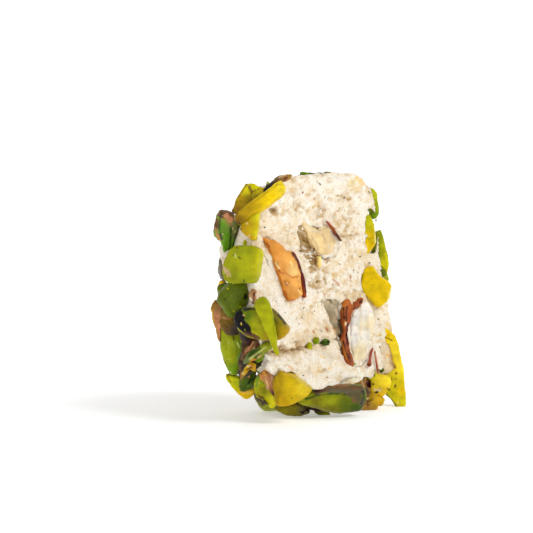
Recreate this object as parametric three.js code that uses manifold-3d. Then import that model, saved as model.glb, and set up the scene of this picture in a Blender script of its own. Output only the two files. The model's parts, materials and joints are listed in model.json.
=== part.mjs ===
// Half of a nougat ball coated in chopped pistachios.
// It stands on its coating, with the cut face leaning back.
// Millimetres, +Z up. The origin is on the table, under the middle of the piece.
// The half is built in its own frame first: X to the right, +Z up the cut face, -Y straight out of it,
// with the origin at the middle of the cut face.
import * as THREE from 'three';
import { mergeVertices } from 'three/addons/utils/BufferGeometryUtils.js';
import Module from 'manifold-3d';

const wasm = await Module();
wasm.setup();

// ---- driving dimensions ----------------------------------------------------------------------
const BALL_RADIUS = 17.6; // the nougat ball, seen from above
const BALL_HALF_HEIGHT = 17.8;
const SLUMP_POWER = 2.7; // 2 is a sphere, more is a ball that has settled towards a rounded block
const CUT_PAST_MIDDLE = 3; // the cut missed the ball's middle, so a little less than half is left
const FACE_LEAN = 7; // degrees that the cut face leans back
const FACE_ROLL = 4; // degrees that the half is turned in the plane of its cut, right side up
const FACE_HEIGHT = 22; // middle of the cut face above the table
const GAP = 0.3; // clearance between neighbouring solids

const RIM_SEGMENTS = 44;
const FACE_RINGS = 9;
const BACK_RINGS = 7;

const LEDGE_STEP = 1.2; // how far the lower part of the cut stands proud of the upper part
const LEDGE_SOFTNESS = 1.6;
const HOLLOW_DEPTH = 3.2;

const KERNEL_SIDES = 9;
const KERNEL_RINGS = 6;
const SLICE_STEPS = 4;

const BALL_CENTRE = new THREE.Vector3(0, -CUT_PAST_MIDDLE, 0);
const UP = new THREE.Vector3(0, 0, 1);

const COLOURS = {
  nougat: { color: 0xf1e3cb, roughness: 0.72 },
  roasted_almond: { color: 0xdf9d48, roughness: 0.45 },
  blanched_almond: { color: 0xeee2cc, roughness: 0.5 },
  pistachio_yellow: { color: 0xdcb60a, roughness: 0.42 },
  pistachio_lime: { color: 0xa8a010, roughness: 0.42 },
  pistachio_green: { color: 0x748018, roughness: 0.45 },
  pistachio_skin: { color: 0x7a5a34, roughness: 0.55 },
};

// ---- solids ----------------------------------------------------------------------------------
const radians = THREE.MathUtils.degToRad;
const smooth = THREE.MathUtils.smoothstep;

function solidOf(geometry) {
  const bare = geometry.clone();
  bare.deleteAttribute('normal');
  bare.deleteAttribute('uv');
  const merged = mergeVertices(bare, 1e-4);
  return new wasm.Manifold(new wasm.Mesh({
    numProp: 3,
    vertProperties: new Float32Array(merged.attributes.position.array),
    triVerts: new Uint32Array(merged.index.array),
  }));
}

function geometryOf(solid) {
  const mesh = solid.getMesh();
  const geometry = new THREE.BufferGeometry();
  geometry.setAttribute('position', new THREE.BufferAttribute(new Float32Array(mesh.vertProperties), 3));
  geometry.setIndex(new THREE.BufferAttribute(new Uint32Array(mesh.triVerts), 1));
  return geometry;
}

function largestBody(solid) {
  const bodies = solid.decompose();
  return bodies.reduce((best, body) => (body.volume() > best.volume() ? body : best), bodies[0]);
}

function boxAbove(normal, distance) {
  // a block that fills everything on the far side of a plane
  const size = 90;
  const geometry = new THREE.BoxGeometry(size, size, size);
  geometry.translate(0, 0, size / 2 + distance);
  geometry.applyQuaternion(new THREE.Quaternion().setFromUnitVectors(UP, normal.clone().normalize()));
  return solidOf(geometry);
}

// A nut kernel lies along X. Its first end is the pointed one. Each cut is [x, y, z, distance]:
// whatever lies further than the distance along that direction is sliced off.
function kernel({ length, width, thick, point = 0.35, cuts = [] }, grow) {
  const profile = [];
  for (let ring = 0; ring <= KERNEL_RINGS; ring += 1) {
    const turn = (Math.PI * ring) / KERNEL_RINGS;
    const along = -Math.cos(turn) / 2;
    const isTip = ring === 0 || ring === KERNEL_RINGS;
    const girth = isTip ? 0 : (Math.sin(turn) ** 0.85) * (1 + point * along) / 2;
    profile.push(new THREE.Vector2(girth, along));
  }
  const geometry = new THREE.LatheGeometry(profile, KERNEL_SIDES);
  geometry.rotateZ(-Math.PI / 2);
  geometry.scale(length + 2 * grow, width + 2 * grow, thick + 2 * grow);
  return cuts.reduce((solid, [x, y, z, distance]) => (
    solid.subtract(boxAbove(new THREE.Vector3(x, y, z), distance + grow))
  ), solidOf(geometry));
}

// A slice lies along X with its flat faces up and down. Each tip is 0 for a blunt end and 1 for a point,
// taper widens the second end, and bow bends the slice sideways.
function slice({ length, width, thick, tips = [0.3, 0.3], taper = 0, bow = 0 }, grow) {
  const above = [];
  const below = [];
  for (let step = 0; step <= SLICE_STEPS; step += 1) {
    const along = step / SLICE_STEPS;
    const x = (along - 0.5) * (length + 2 * grow);
    const fromEnd = Math.min(along, 1 - along) * 2;
    const tip = along < 0.5 ? tips[0] : tips[1];
    const shape = THREE.MathUtils.lerp(0.72 + 0.28 * fromEnd, 0.16 + 0.84 * fromEnd, tip);
    const half = (width / 2) * shape * (1 + taper * (along - 0.5)) + grow;
    const middle = bow * (1 - (2 * along - 1) ** 2);
    above.push(new THREE.Vector2(x, middle + half));
    below.push(new THREE.Vector2(x, middle - half));
  }
  const outline = new THREE.Shape([...below, ...above.reverse()]);
  const geometry = new THREE.ExtrudeGeometry(outline, { depth: thick + 2 * grow, bevelEnabled: false });
  geometry.translate(0, 0, -thick / 2 - grow);
  return solidOf(geometry);
}

const MAKERS = { kernel, slice };

// Longitude 0 looks out of the cut face, -90 to its left and 180 to the back. Latitude is upwards.
function directionOf(lon, lat) {
  const east = radians(lon);
  const north = radians(lat);
  return new THREE.Vector3(
    Math.sin(east) * Math.cos(north),
    -Math.cos(east) * Math.cos(north),
    Math.sin(north),
  );
}

// A piece sits at a point and faces a direction: its own Z turns that way, and spin turns it about it.
function placement({ at, facing, spin }) {
  const [lon, lat] = facing;
  const outward = directionOf(lon, lat);
  const east = new THREE.Vector3(Math.cos(radians(lon)), Math.sin(radians(lon)), 0);
  const north = new THREE.Vector3().crossVectors(outward, east);
  const matrix = new THREE.Matrix4().makeBasis(east, north, outward);
  matrix.multiply(new THREE.Matrix4().makeRotationZ(radians(spin)));
  return matrix.setPosition(...at);
}

function placed(piece, grow) {
  const solid = MAKERS[piece.kind](piece, grow);
  const geometry = geometryOf(solid);
  geometry.applyMatrix4(placement(piece));
  return solidOf(geometry);
}

// ---- nougat ----------------------------------------------------------------------------------
// bulges that make the ball uneven: where they are, how high and how wide, in degrees
const BULGES = [
  { toward: new THREE.Vector3(17, 1, -17.5), height: 3.4, spread: 15 },
  { toward: new THREE.Vector3(-17, 1, -10), height: 0.8, spread: 20 },
  { toward: new THREE.Vector3(15, 2, 12), height: 0.8, spread: 26 },
];

function nougatRadius(direction) {
  const flat = Math.hypot(direction.x, direction.y) / BALL_RADIUS;
  const tall = Math.abs(direction.z) / BALL_HALF_HEIGHT;
  let radius = (flat ** SLUMP_POWER + tall ** SLUMP_POWER) ** (-1 / SLUMP_POWER);
  for (const { toward, height, spread } of BULGES) {
    const away = direction.angleTo(toward.clone().sub(BALL_CENTRE)) / radians(spread);
    radius += height * Math.exp(-away * away);
  }
  return radius;
}

function ledgeLine(x) {
  // the height at which the lower part of the cut steps forward
  return -9.9 - 0.42 * Math.max(0, x + 7);
}

function faceRelief(x, z) {
  const lower = smooth(ledgeLine(x) - z, 0, LEDGE_SOFTNESS) * (1 - smooth(x, 5, 9));
  const upper = smooth(z, 9, 15) * 0.8;
  return -LEDGE_STEP * lower - upper;
}

function backPoint(turn, fromPole) {
  const direction = new THREE.Vector3(
    Math.cos(turn) * Math.sin(fromPole),
    Math.cos(fromPole),
    Math.sin(turn) * Math.sin(fromPole),
  );
  return direction.clone().multiplyScalar(nougatRadius(direction)).add(BALL_CENTRE);
}

function rimAngle(turn) {
  // how far from the back pole the ball's surface meets the cut
  let angle = Math.PI / 2;
  for (let pass = 0; pass < 8; pass += 1) {
    const reach = backPoint(turn, angle).sub(BALL_CENTRE).length();
    angle = Math.acos(CUT_PAST_MIDDLE / reach);
  }
  return angle;
}

function nougatBody() {
  const points = [new THREE.Vector3(0, faceRelief(0, 0), 0)];
  const ringCount = FACE_RINGS + BACK_RINGS;
  for (let ring = 1; ring <= ringCount; ring += 1) {
    for (let segment = 0; segment < RIM_SEGMENTS; segment += 1) {
      const turn = (2 * Math.PI * segment) / RIM_SEGMENTS;
      const rim = rimAngle(turn);
      if (ring <= FACE_RINGS) {
        const edge = backPoint(turn, rim).multiplyScalar(ring / FACE_RINGS);
        points.push(new THREE.Vector3(edge.x, faceRelief(edge.x, edge.z), edge.z));
      } else {
        points.push(backPoint(turn, (rim * (ringCount + 1 - ring)) / (BACK_RINGS + 1)));
      }
    }
  }
  points.push(backPoint(0, 0));
  const faces = [];
  const last = points.length - 1;
  const at = (ring, segment) => 1 + (ring - 1) * RIM_SEGMENTS + (segment % RIM_SEGMENTS);
  for (let segment = 0; segment < RIM_SEGMENTS; segment += 1) {
    faces.push(0, at(1, segment), at(1, segment + 1));
    for (let ring = 1; ring < ringCount; ring += 1) {
      faces.push(at(ring, segment), at(ring + 1, segment), at(ring + 1, segment + 1));
      faces.push(at(ring, segment), at(ring + 1, segment + 1), at(ring, segment + 1));
    }
    faces.push(at(ringCount, segment), last, at(ringCount, segment + 1));
  }
  const geometry = new THREE.BufferGeometry();
  const coordinates = points.flatMap((point) => point.toArray());
  geometry.setAttribute('position', new THREE.Float32BufferAttribute(coordinates, 3));
  geometry.setIndex(faces);
  return solidOf(geometry);
}

// hollows torn in the cut face where nuts pulled away, as [x, z] corners on the face
const HOLLOWS = [
  [[-1.1, -3.1], [4.1, -3.1], [5.0, -9], [4.9, -14.6], [3.4, -11.6]],
  [[-4.6, 9.2], [-3.0, 8.5], [-0.4, 4.8], [-0.2, 3.6], [-5.0, 5.2]],
];

function hollow(corners) {
  const outline = new THREE.Shape(corners.map(([x, z]) => new THREE.Vector2(x, z)));
  const geometry = new THREE.ExtrudeGeometry(outline, { depth: HOLLOW_DEPTH + 4, bevelEnabled: false });
  geometry.translate(0, 0, -HOLLOW_DEPTH);
  geometry.rotateX(Math.PI / 2);
  return solidOf(geometry);
}

// ---- nuts ------------------------------------------------------------------------------------
// Almonds lie in the cut face. Pistachios coat the ball; the first in the list lie uppermost.
const ALMONDS = [
  { name: 'almond_roasted', look: 'roasted_almond', kind: 'kernel', length: 14.0, width: 5.0, thick: 7,
    at: [-9.8, 0.9, 3.3], facing: [0, 0], spin: -54, point: 0.5, cuts: [[0, 0, 1, 1.4]] },
  { name: 'almond_lower', look: 'blanched_almond', kind: 'kernel', length: 12.6, width: 8.4, thick: 9,
    at: [8.5, 0.9, -9.4], facing: [0, 0], spin: -108, point: -0.7, cuts: [[0, 0, 1, 1.1]] },
  { name: 'almond_upper', look: 'blanched_almond', kind: 'kernel', length: 9.4, width: 3.9, thick: 6,
    at: [1.5, 0.7, 6.6], facing: [0, 0], spin: -26, cuts: [[0, 0, 1, 1.0]] },
];

const PISTACHIOS = [
  { name: 'spike_left', look: 'pistachio_lime', kind: 'slice', length: 9.2, width: 2.3, thick: 1.1,
    at: [-19.6, -3.9, -4.9], facing: [-62, 0], spin: -76, tips: [0.5, 0.95], taper: -0.5, bow: 0.2 },
  { name: 'leaf_left', look: 'pistachio_green', kind: 'slice', length: 5, width: 1.8, thick: 0.9,
    at: [-18.0, 1.3, -9.6], facing: [-70, 0], spin: 32, tips: [0.6, 0.8] },
  { name: 'slab_top', look: 'pistachio_yellow', kind: 'slice', length: 9.8, width: 2.0, thick: 1.7,
    at: [-15.0, -1.4, 13.6], facing: [-68, 16], spin: 37, tips: [0.5, 0.2], taper: 0.4 },
  { name: 'strip_top', look: 'pistachio_skin', kind: 'slice', length: 6.4, width: 1.4, thick: 1.0,
    at: [-11.6, -1.1, 16.2], facing: [-75, 30], spin: 32, tips: [0.8, 0.7], bow: 0.5 },
  { name: 'leaf_top', look: 'pistachio_yellow', kind: 'slice', length: 3.8, width: 3.2, thick: 1.3,
    at: [-12.3, 0.8, 15.2], facing: [-68, 10], spin: 118, tips: [0.1, 0.9] },
  { name: 'sliver_top', look: 'pistachio_yellow', kind: 'slice', length: 5.2, width: 2.4, thick: 1.4,
    at: [-12.4, 4.1, 14.4], facing: [-72, 10], spin: 62, tips: [0.2, 0.8], taper: -0.5 },
  { name: 'slice_upper', look: 'pistachio_yellow', kind: 'slice', length: 4.8, width: 3.0, thick: 1.3,
    at: [-16.5, 0.5, 10.6], facing: [-80, 10], spin: 58, tips: [0.3, 0.2] },
  { name: 'kernel_far_left', look: 'pistachio_skin', kind: 'kernel', length: 7.4, width: 4.2, thick: 4,
    at: [-15.1, 6.2, 10.0], facing: [-86, 8], spin: 74, cuts: [[0.25, -0.3, 0.9, 0.9]] },
  { name: 'slab_left', look: 'pistachio_lime', kind: 'slice', length: 7.4, width: 6.0, thick: 1.9,
    at: [-18.3, 1.0, 4.5], facing: [-98, 8], spin: -8, tips: [0.4, 0.05], taper: 0.1 },
  { name: 'kernel_left', look: 'pistachio_green', kind: 'kernel', length: 8.0, width: 5.2, thick: 4.2,
    at: [-17.0, 5.2, -0.9], facing: [-108, 0], spin: 36, cuts: [[0, 0, -1, 0.6]] },
  { name: 'chip_left', look: 'pistachio_skin', kind: 'slice', length: 7.0, width: 2.4, thick: 1.0,
    at: [-15.2, 9.1, -4.3], facing: [-66, 0], spin: -78, tips: [0.2, 0.9], taper: -0.3 },
  { name: 'kernel_dark', look: 'pistachio_green', kind: 'kernel', length: 10.0, width: 5.3, thick: 5.0,
    at: [-18.4, -1.2, -4.6], facing: [-78, -6], spin: -11, point: 0.1,
    cuts: [[0, 0, 1, 1.2], [0, 0, -1, 1.6]] },
  { name: 'kernel_lower_left', look: 'pistachio_green', kind: 'kernel', length: 9.2, width: 3.8, thick: 4.0,
    at: [-13.6, 8.7, -9.1], facing: [-84, -14], spin: -72, point: -0.2, cuts: [[0, 0, -1, 0.8]] },
  { name: 'chunk_bottom', look: 'pistachio_yellow', kind: 'kernel', length: 9.0, width: 8.6, thick: 6,
    at: [-13.9, -0.6, -14.8], facing: [-62, -8], spin: -33, point: -0.2,
    cuts: [[0, 0, 1, 1.2], [0, 0, -1, 1.4], [0, 1, 0, 1.2], [-0.9, -0.44, 0, 1.8]] },
  { name: 'slice_low_green', look: 'pistachio_lime', kind: 'slice', length: 5.8, width: 2.4, thick: 1.5,
    at: [-14.0, 3.4, -16.3], facing: [-72, -10], spin: -57, tips: [0.3, 0.5] },
  { name: 'kernel_low_dark', look: 'pistachio_green', kind: 'kernel', length: 5.0, width: 3.0, thick: 3,
    at: [-13.7, 7.2, -13.8], facing: [-78, -10], spin: 62, cuts: [[0, 0, 1, 0.8]] },
  { name: 'slice_low_left', look: 'pistachio_lime', kind: 'slice', length: 5.6, width: 2.0, thick: 1.4,
    at: [-12.4, 9.6, -15.1], facing: [-72, -6], spin: -46, tips: [0.9, 0.2], taper: 0.4 },
  { name: 'kernel_bottom', look: 'pistachio_green', kind: 'kernel', length: 14.0, width: 5.0, thick: 4.8,
    at: [-2.0, 0.5, -19.7], facing: [-12, -8], spin: -3, point: 0.2, cuts: [[0, -0.45, 0.9, 1.6]] },
  { name: 'kernel_under_left', look: 'pistachio_green', kind: 'kernel', length: 6.6, width: 4.2, thick: 4.2,
    at: [-7.2, 4.2, -19.2], facing: [-50, -40], spin: -4, cuts: [[0, 0, -1, 1.6]] },
  { name: 'nugget_right', look: 'pistachio_yellow', kind: 'kernel', length: 7.4, width: 6.0, thick: 6,
    at: [13.5, 0.5, -2.7], facing: [-46, 2], spin: -62, point: 0.2,
    cuts: [[0, 0, 1, 1.8], [1, 0.2, 0, 3.1], [-1, 0.3, 0, 3.1]] },
  { name: 'slice_right_high', look: 'pistachio_lime', kind: 'slice', length: 5.6, width: 2.0, thick: 1.6,
    at: [17.3, 0.9, 11.6], facing: [-44, 2], spin: -80, tips: [0.5, 0.4] },
  { name: 'slice_right_mid', look: 'pistachio_yellow', kind: 'slice', length: 6.6, width: 2.4, thick: 2.0,
    at: [15.4, 0.5, 6.4], facing: [-48, 2], spin: -88, tips: [0.7, 0.6], bow: 0.2 },
  { name: 'slice_right_low', look: 'pistachio_lime', kind: 'slice', length: 7.4, width: 2.4, thick: 1.6,
    at: [17.6, 1.2, 4.0], facing: [-44, 4], spin: -74, tips: [0.7, 0.8] },
  { name: 'slice_right_long', look: 'pistachio_yellow', kind: 'slice', length: 14.8, width: 3.0, thick: 2.0,
    at: [15.7, 0.2, -16.4], facing: [-50, 0], spin: -77, tips: [0.9, 0.95], taper: 0.4, bow: 0.4 },
  { name: 'cluster_right', look: 'pistachio_yellow', kind: 'kernel', length: 5.4, width: 4.6, thick: 4.4,
    at: [11.8, 1.1, -19.0], facing: [-40, -10], spin: 20, cuts: [[0, 0, 1, 1.4], [-1, -0.2, 0, 2.2]] },
  { name: 'foot_front', look: 'pistachio_green', kind: 'kernel', length: 6.4, width: 3.6, thick: 3.6,
    at: [8.2, 1.4, -21.0], facing: [0, -80], spin: 20, cuts: [[0, 0, -1, 1.2]] },
  { name: 'slice_top_right', look: 'pistachio_lime', kind: 'slice', length: 8.4, width: 4.2, thick: 1.6,
    at: [3.6, 6.6, 16.1], facing: [165, 64], spin: 12, tips: [0.3, 0.7] },
  { name: 'slice_top_left', look: 'pistachio_green', kind: 'slice', length: 7.2, width: 3.6, thick: 1.6,
    at: [-5.4, 6.8, 15.4], facing: [-158, 60], spin: -20, tips: [0.7, 0.4] },
];

// kernels low on the back that hold the leaning piece up
const FEET = [
  { name: 'foot_back_left', look: 'pistachio_lime', kind: 'kernel', length: 10.4, width: 8.0, thick: 6.2,
    at: [-0.9, 11.9, -17.4], facing: [-176, -25], spin: 4 },
  { name: 'foot_back_right', look: 'pistachio_green', kind: 'kernel', length: 11.2, width: 8.2, thick: 6.6,
    at: [8.6, 10.6, -18.2], facing: [142, -25], spin: 176 },
];

// The rest of the back is covered ring by ring; each ring is an angle from the back pole.
const BACK_RING_ANGLES = [3, 25, 41, 56, 71];
const BACK_RING_COUNTS = [1, 5, 9, 12, 14];
const RING_PHASES = [0, 0.3, 0.7, 0.2, 0.6];
const SHALLOW_RING = 4; // the ring next to the cut lies nearly flush, so that the rim stays bare
const BACK_LOOKS = ['pistachio_green', 'pistachio_lime', 'pistachio_yellow', 'pistachio_skin'];
// Sectors that ring filling leaves alone: degrees round the rim from the right-hand side, counted upwards,
// and degrees from the back pole. The pieces above stand there, or the rim is bare.
const LEFT_ALONE = [
  { start: 118, sweep: 128, nearest: 44, furthest: 90 },
  { start: 240, sweep: 60, nearest: 36, furthest: 90 },
  { start: 40, sweep: 78, nearest: 50, furthest: 90 },
  { start: 328, sweep: 54, nearest: 60, furthest: 90 },
];

function seededRandom(seed) {
  let state = seed;
  return () => {
    state = (state * 1664525 + 1013904223) % 4294967296;
    return state / 4294967296;
  };
}

function isLeftAlone(turn, fromPole) {
  return LEFT_ALONE.some(({ start, sweep, nearest, furthest }) => (
    THREE.MathUtils.euclideanModulo(turn - start, 360) < sweep && fromPole > nearest && fromPole < furthest
  ));
}

function backPieces() {
  const random = seededRandom(41);
  const pieces = [];
  BACK_RING_ANGLES.forEach((fromPole, ring) => {
    for (let place = 0; place < BACK_RING_COUNTS[ring]; place += 1) {
      const turn = (360 * (place + 0.35 * random() + RING_PHASES[ring])) / BACK_RING_COUNTS[ring];
      const angle = fromPole + 5 * (random() - 0.5);
      const shape = [random(), random(), random(), random(), random(), random()];
      if (isLeftAlone(turn, angle)) continue;
      const surface = backPoint(radians(turn), radians(angle));
      const outward = surface.clone().sub(BALL_CENTRE).normalize();
      const whole = shape[0] < 0.45 && ring < SHALLOW_RING;
      const thick = whole ? 3.6 + 1.2 * shape[1] : 1.6 + 0.9 * shape[1];
      const centre = surface.clone().addScaledVector(outward, ring < SHALLOW_RING ? 0.4 : -0.3);
      const lon = THREE.MathUtils.radToDeg(Math.atan2(outward.x, -outward.y));
      const lat = THREE.MathUtils.radToDeg(Math.asin(outward.z));
      pieces.push({
        name: `coating_back_${String(pieces.length + 1).padStart(2, '0')}`,
        look: BACK_LOOKS[Math.floor(shape[2] * 3.3)],
        kind: whole ? 'kernel' : 'slice',
        length: whole ? 8.5 + 3 * shape[3] : 7 + 4 * shape[3],
        width: whole ? 4.8 + 1.4 * shape[4] : 3.6 + 2.2 * shape[4],
        thick,
        at: centre.toArray(),
        facing: [lon + 24 * (shape[5] - 0.5), lat + 20 * (shape[1] - 0.5)],
        spin: 180 * shape[5] + 75 * place,
        tips: [0.2 + 0.7 * shape[1], 0.2 + 0.7 * shape[4]],
        cuts: [[0, 0, -1, 0.9], ...(shape[3] > 0.5 ? [[0.95, 0.3, 0, 3.4]] : [])],
      });
    }
  });
  return pieces;
}

// ---- assembly --------------------------------------------------------------------------------
const leaning = new THREE.Group();
leaning.position.set(0, 0, FACE_HEIGHT);
leaning.rotation.set(-radians(FACE_LEAN), -radians(FACE_ROLL), 0);
leaning.updateMatrix();

function tableTop() {
  // everything below the table, seen from the leaning frame
  const below = new THREE.BoxGeometry(200, 200, 60);
  below.translate(0, 0, -30);
  below.applyMatrix4(leaning.matrix.clone().invert());
  return solidOf(below);
}

function addPiece(name, look, solid) {
  const material = new THREE.MeshStandardMaterial({ ...COLOURS[look], metalness: 0 });
  const mesh = new THREE.Mesh(geometryOf(solid), material);
  mesh.name = name;
  leaning.add(mesh);
}

const table = tableTop();
const pieces = [...ALMONDS, ...PISTACHIOS, ...FEET, ...backPieces()];
const sockets = [];
for (const piece of pieces) {
  let solid = placed(piece, 0);
  sockets.forEach((socket) => {
    solid = solid.subtract(socket);
  });
  solid = largestBody(solid.subtract(table));
  sockets.push(placed(piece, GAP));
  addPiece(piece.name, piece.look, solid);
}

let nougat = nougatBody();
HOLLOWS.forEach((corners) => {
  nougat = nougat.subtract(hollow(corners));
});
sockets.forEach((socket) => {
  nougat = nougat.subtract(socket);
});
addPiece('nougat', 'nougat', largestBody(nougat));

const part = new THREE.Group();
part.add(leaning);
part.updateMatrixWorld(true);
const middle = new THREE.Box3().setFromObject(part, true).getCenter(new THREE.Vector3());
part.position.set(-middle.x, -middle.y, 0);

export default part;
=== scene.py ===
import json
import math
import random

import bmesh
import bpy
import numpy as np
from mathutils import Matrix, Vector
from mathutils.bvhtree import BVHTree

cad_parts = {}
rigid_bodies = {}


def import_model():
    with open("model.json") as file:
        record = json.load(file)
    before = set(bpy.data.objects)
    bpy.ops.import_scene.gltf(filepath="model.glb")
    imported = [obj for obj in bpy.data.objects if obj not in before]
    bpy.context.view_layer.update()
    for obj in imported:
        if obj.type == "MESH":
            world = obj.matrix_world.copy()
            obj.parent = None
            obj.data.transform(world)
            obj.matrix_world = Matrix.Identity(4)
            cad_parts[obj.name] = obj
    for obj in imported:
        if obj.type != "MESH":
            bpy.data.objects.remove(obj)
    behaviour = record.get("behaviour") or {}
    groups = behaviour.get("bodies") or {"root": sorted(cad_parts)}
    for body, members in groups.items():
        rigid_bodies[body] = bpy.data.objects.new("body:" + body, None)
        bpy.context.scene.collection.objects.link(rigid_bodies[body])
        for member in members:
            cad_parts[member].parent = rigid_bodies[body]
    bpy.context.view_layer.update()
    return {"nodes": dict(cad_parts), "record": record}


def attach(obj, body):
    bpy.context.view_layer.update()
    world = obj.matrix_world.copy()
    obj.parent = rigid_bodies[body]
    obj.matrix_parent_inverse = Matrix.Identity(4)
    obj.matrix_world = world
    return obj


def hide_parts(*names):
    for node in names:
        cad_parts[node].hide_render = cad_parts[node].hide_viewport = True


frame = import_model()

METRES = 0.001
SLOTS = {entry["node"]: entry["material_slot"] for entry in frame["record"]["subparts"]}

# ---- the half's own frame ----------------------------------------------------------------------
FACE_LEAN = math.radians(7)
FACE_ROLL = math.radians(4)
FACE_MIDDLE = Vector((0.73, -5.16, 22.0))  # the middle of the cut face, in the row frame
BALL_MIDDLE = Vector((0, -3, 0))
HALF_TO_ROW = (
    Matrix.Scale(METRES, 4)
    @ Matrix.Translation(FACE_MIDDLE)
    @ Matrix.Rotation(-FACE_LEAN, 4, "X")
    @ Matrix.Rotation(-FACE_ROLL, 4, "Y")
)
ROW_TO_HALF = HALF_TO_ROW.inverted()

# ---- the photograph's camera -------------------------------------------------------------------
PHOTO_SIZE = 533
VIEW_AZIMUTH = math.radians(-53)
VIEW_ELEVATION = math.radians(3)
VIEW_DISTANCE = 300.0
PIXELS_PER_MM = 6.1  # at the middle of the cut face
FACE_MIDDLE_PIXEL = (322.0, 281.0)
SENSOR = 36.0  # mm wide
FOCAL_PIXELS = PIXELS_PER_MM * VIEW_DISTANCE


def view_axes(azimuth, elevation):
    """Right, up and backward directions of a camera that looks at the piece from there."""
    back = Vector((
        math.sin(azimuth) * math.cos(elevation),
        -math.cos(azimuth) * math.cos(elevation),
        math.sin(elevation),
    ))
    right = Vector((math.cos(azimuth), math.sin(azimuth), 0))
    return right, back.cross(right), back


EYE = FACE_MIDDLE + view_axes(VIEW_AZIMUTH, VIEW_ELEVATION)[2] * VIEW_DISTANCE
AIM_TURN = math.atan((FACE_MIDDLE_PIXEL[0] - PHOTO_SIZE / 2) / FOCAL_PIXELS)
AIM_TILT = math.atan((PHOTO_SIZE / 2 - FACE_MIDDLE_PIXEL[1]) / FOCAL_PIXELS)
VIEW_RIGHT, VIEW_UP, VIEW_BACK = view_axes(VIEW_AZIMUTH + AIM_TURN, VIEW_ELEVATION + AIM_TILT)
RIGHT_IN_HALF, UP_IN_HALF, VIEW_IN_HALF = (
    (ROW_TO_HALF.to_3x3() @ axis).normalized() for axis in (VIEW_RIGHT, VIEW_UP, VIEW_BACK)
)


# ---- numbers -----------------------------------------------------------------------------------
def smoothstep(low, high, values):
    t = np.clip((values - low) / (high - low), 0, 1)
    return t * t * (3 - 2 * t)


LATTICE_PRIMES = np.array([374761393, 668265263, 1440662683])
SEED_PRIME = 974634777
MIXING_PRIME = 1274126177
LOW_32_BITS = 0xFFFFFFFF
LOW_16_BITS = 0xFFFF
OCTAVE_SHIFT = 17.3  # moves each octave and seed to another part of the lattice
NOISE_HEIGHT = 1.6  # brings the usual extremes of the noise to about -1 and 1


def lattice(corner, seed):
    """Repeatable random numbers from -1 to 1, one for each whole-number corner."""
    bits = (corner @ LATTICE_PRIMES + seed * SEED_PRIME) & LOW_32_BITS
    bits = ((bits ^ (bits >> 13)) * MIXING_PRIME) & LOW_32_BITS
    return ((bits ^ (bits >> 16)) & LOW_16_BITS) / (LOW_16_BITS / 2) - 1


def noise(points, size, seed=0, octaves=3, gain=0.5):
    """Smooth noise from about -1 to 1 whose broadest lumps are this many millimetres apart."""
    total = np.zeros(len(points))
    strength, reach = 1.0, 0.0
    for octave in range(octaves):
        spot = points * (2**octave / size) + OCTAVE_SHIFT * (octave + seed)
        low = np.floor(spot).astype(np.int64)
        t = spot - low
        t = t * t * t * (t * (6 * t - 15) + 10)
        value = np.zeros(len(points))
        for corner in range(8):
            step = np.array([corner & 1, corner >> 1 & 1, corner >> 2 & 1])
            share = np.prod(np.where(step, t, 1 - t), axis=1)
            value += share * lattice(low + step, seed + octave)
        total += strength * value
        reach += strength
        strength *= gain
    return total * NOISE_HEIGHT / reach


def linear(colour):
    """A colour from 0 to 255, as a screen shows it, in the linear values that shading needs."""
    c = np.array(colour, float) / 255
    return np.where(c < 0.04045, c / 12.92, ((c + 0.055) / 1.055) ** 2.4)


def mixed(a, b, share):
    """Colours a, mixed with b by a share for each point."""
    share = np.asarray(share, float)[..., None]
    return a * (1 - share) + b * share


# ---- meshes ------------------------------------------------------------------------------------
def vectors(data, name="co"):
    flat = np.zeros(len(data) * 3, np.float32)
    data.foreach_get(name, flat)
    return flat.reshape(-1, 3).astype(float)


def to_array(matrix):
    return np.array(matrix)[:3, :3], np.array(matrix)[:3, 3]


def in_scene(name, data):
    """A new object of the scene with this mesh, lamp or camera."""
    thing = bpy.data.objects.new(name, data)
    bpy.context.scene.collection.objects.link(thing)
    return thing


def evaluated(mesh, modifiers):
    """The mesh after a list of (kind, settings) modifiers."""
    thing = in_scene("shaping", mesh)
    for kind, settings in modifiers:
        modifier = thing.modifiers.new(kind, kind)
        for name, value in settings.items():
            setattr(modifier, name, value)
    graph = bpy.context.evaluated_depsgraph_get()
    result = bpy.data.meshes.new_from_object(thing.evaluated_get(graph))
    bpy.data.objects.remove(thing)
    return result


def move_points(mesh, points):
    mesh.vertices.foreach_set("co", points.astype(np.float32).ravel())
    mesh.update()


def set_tint(mesh, colours):
    rgba = np.ones((len(mesh.vertices), 4), np.float32)
    rgba[:, :3] = np.clip(colours, 0, 1)
    attribute = mesh.color_attributes.new("tint", "FLOAT_COLOR", "POINT")
    attribute.data.foreach_set("color", rgba.ravel())


def add_piece(name, mesh, material, nodes=()):
    """Puts a finished half-frame mesh in the scene as a piece of the object."""
    mesh.transform(HALF_TO_ROW)
    points = vectors(mesh.vertices)
    points[:, 2] = np.maximum(points[:, 2], 0)  # the piece rests on the floor
    move_points(mesh, points)
    mesh.materials.clear()
    mesh.materials.append(material)
    mesh.polygons.foreach_set("use_smooth", np.ones(len(mesh.polygons), bool))
    mesh.update()
    piece = in_scene(name, mesh)
    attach(piece, "root")
    if nodes:
        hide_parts(*nodes)
    return piece


WELD = 0.002  # mm


def half_mesh(node):
    """A copy of a CAD node's solid, welded, in the half frame."""
    mesh = frame["nodes"][node].data.copy()
    mesh.transform(ROW_TO_HALF)
    solid = bmesh.new()
    solid.from_mesh(mesh)
    bmesh.ops.remove_doubles(solid, verts=solid.verts, dist=WELD)
    solid.normal_update()
    solid.to_mesh(mesh)
    solid.free()
    return mesh


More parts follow.
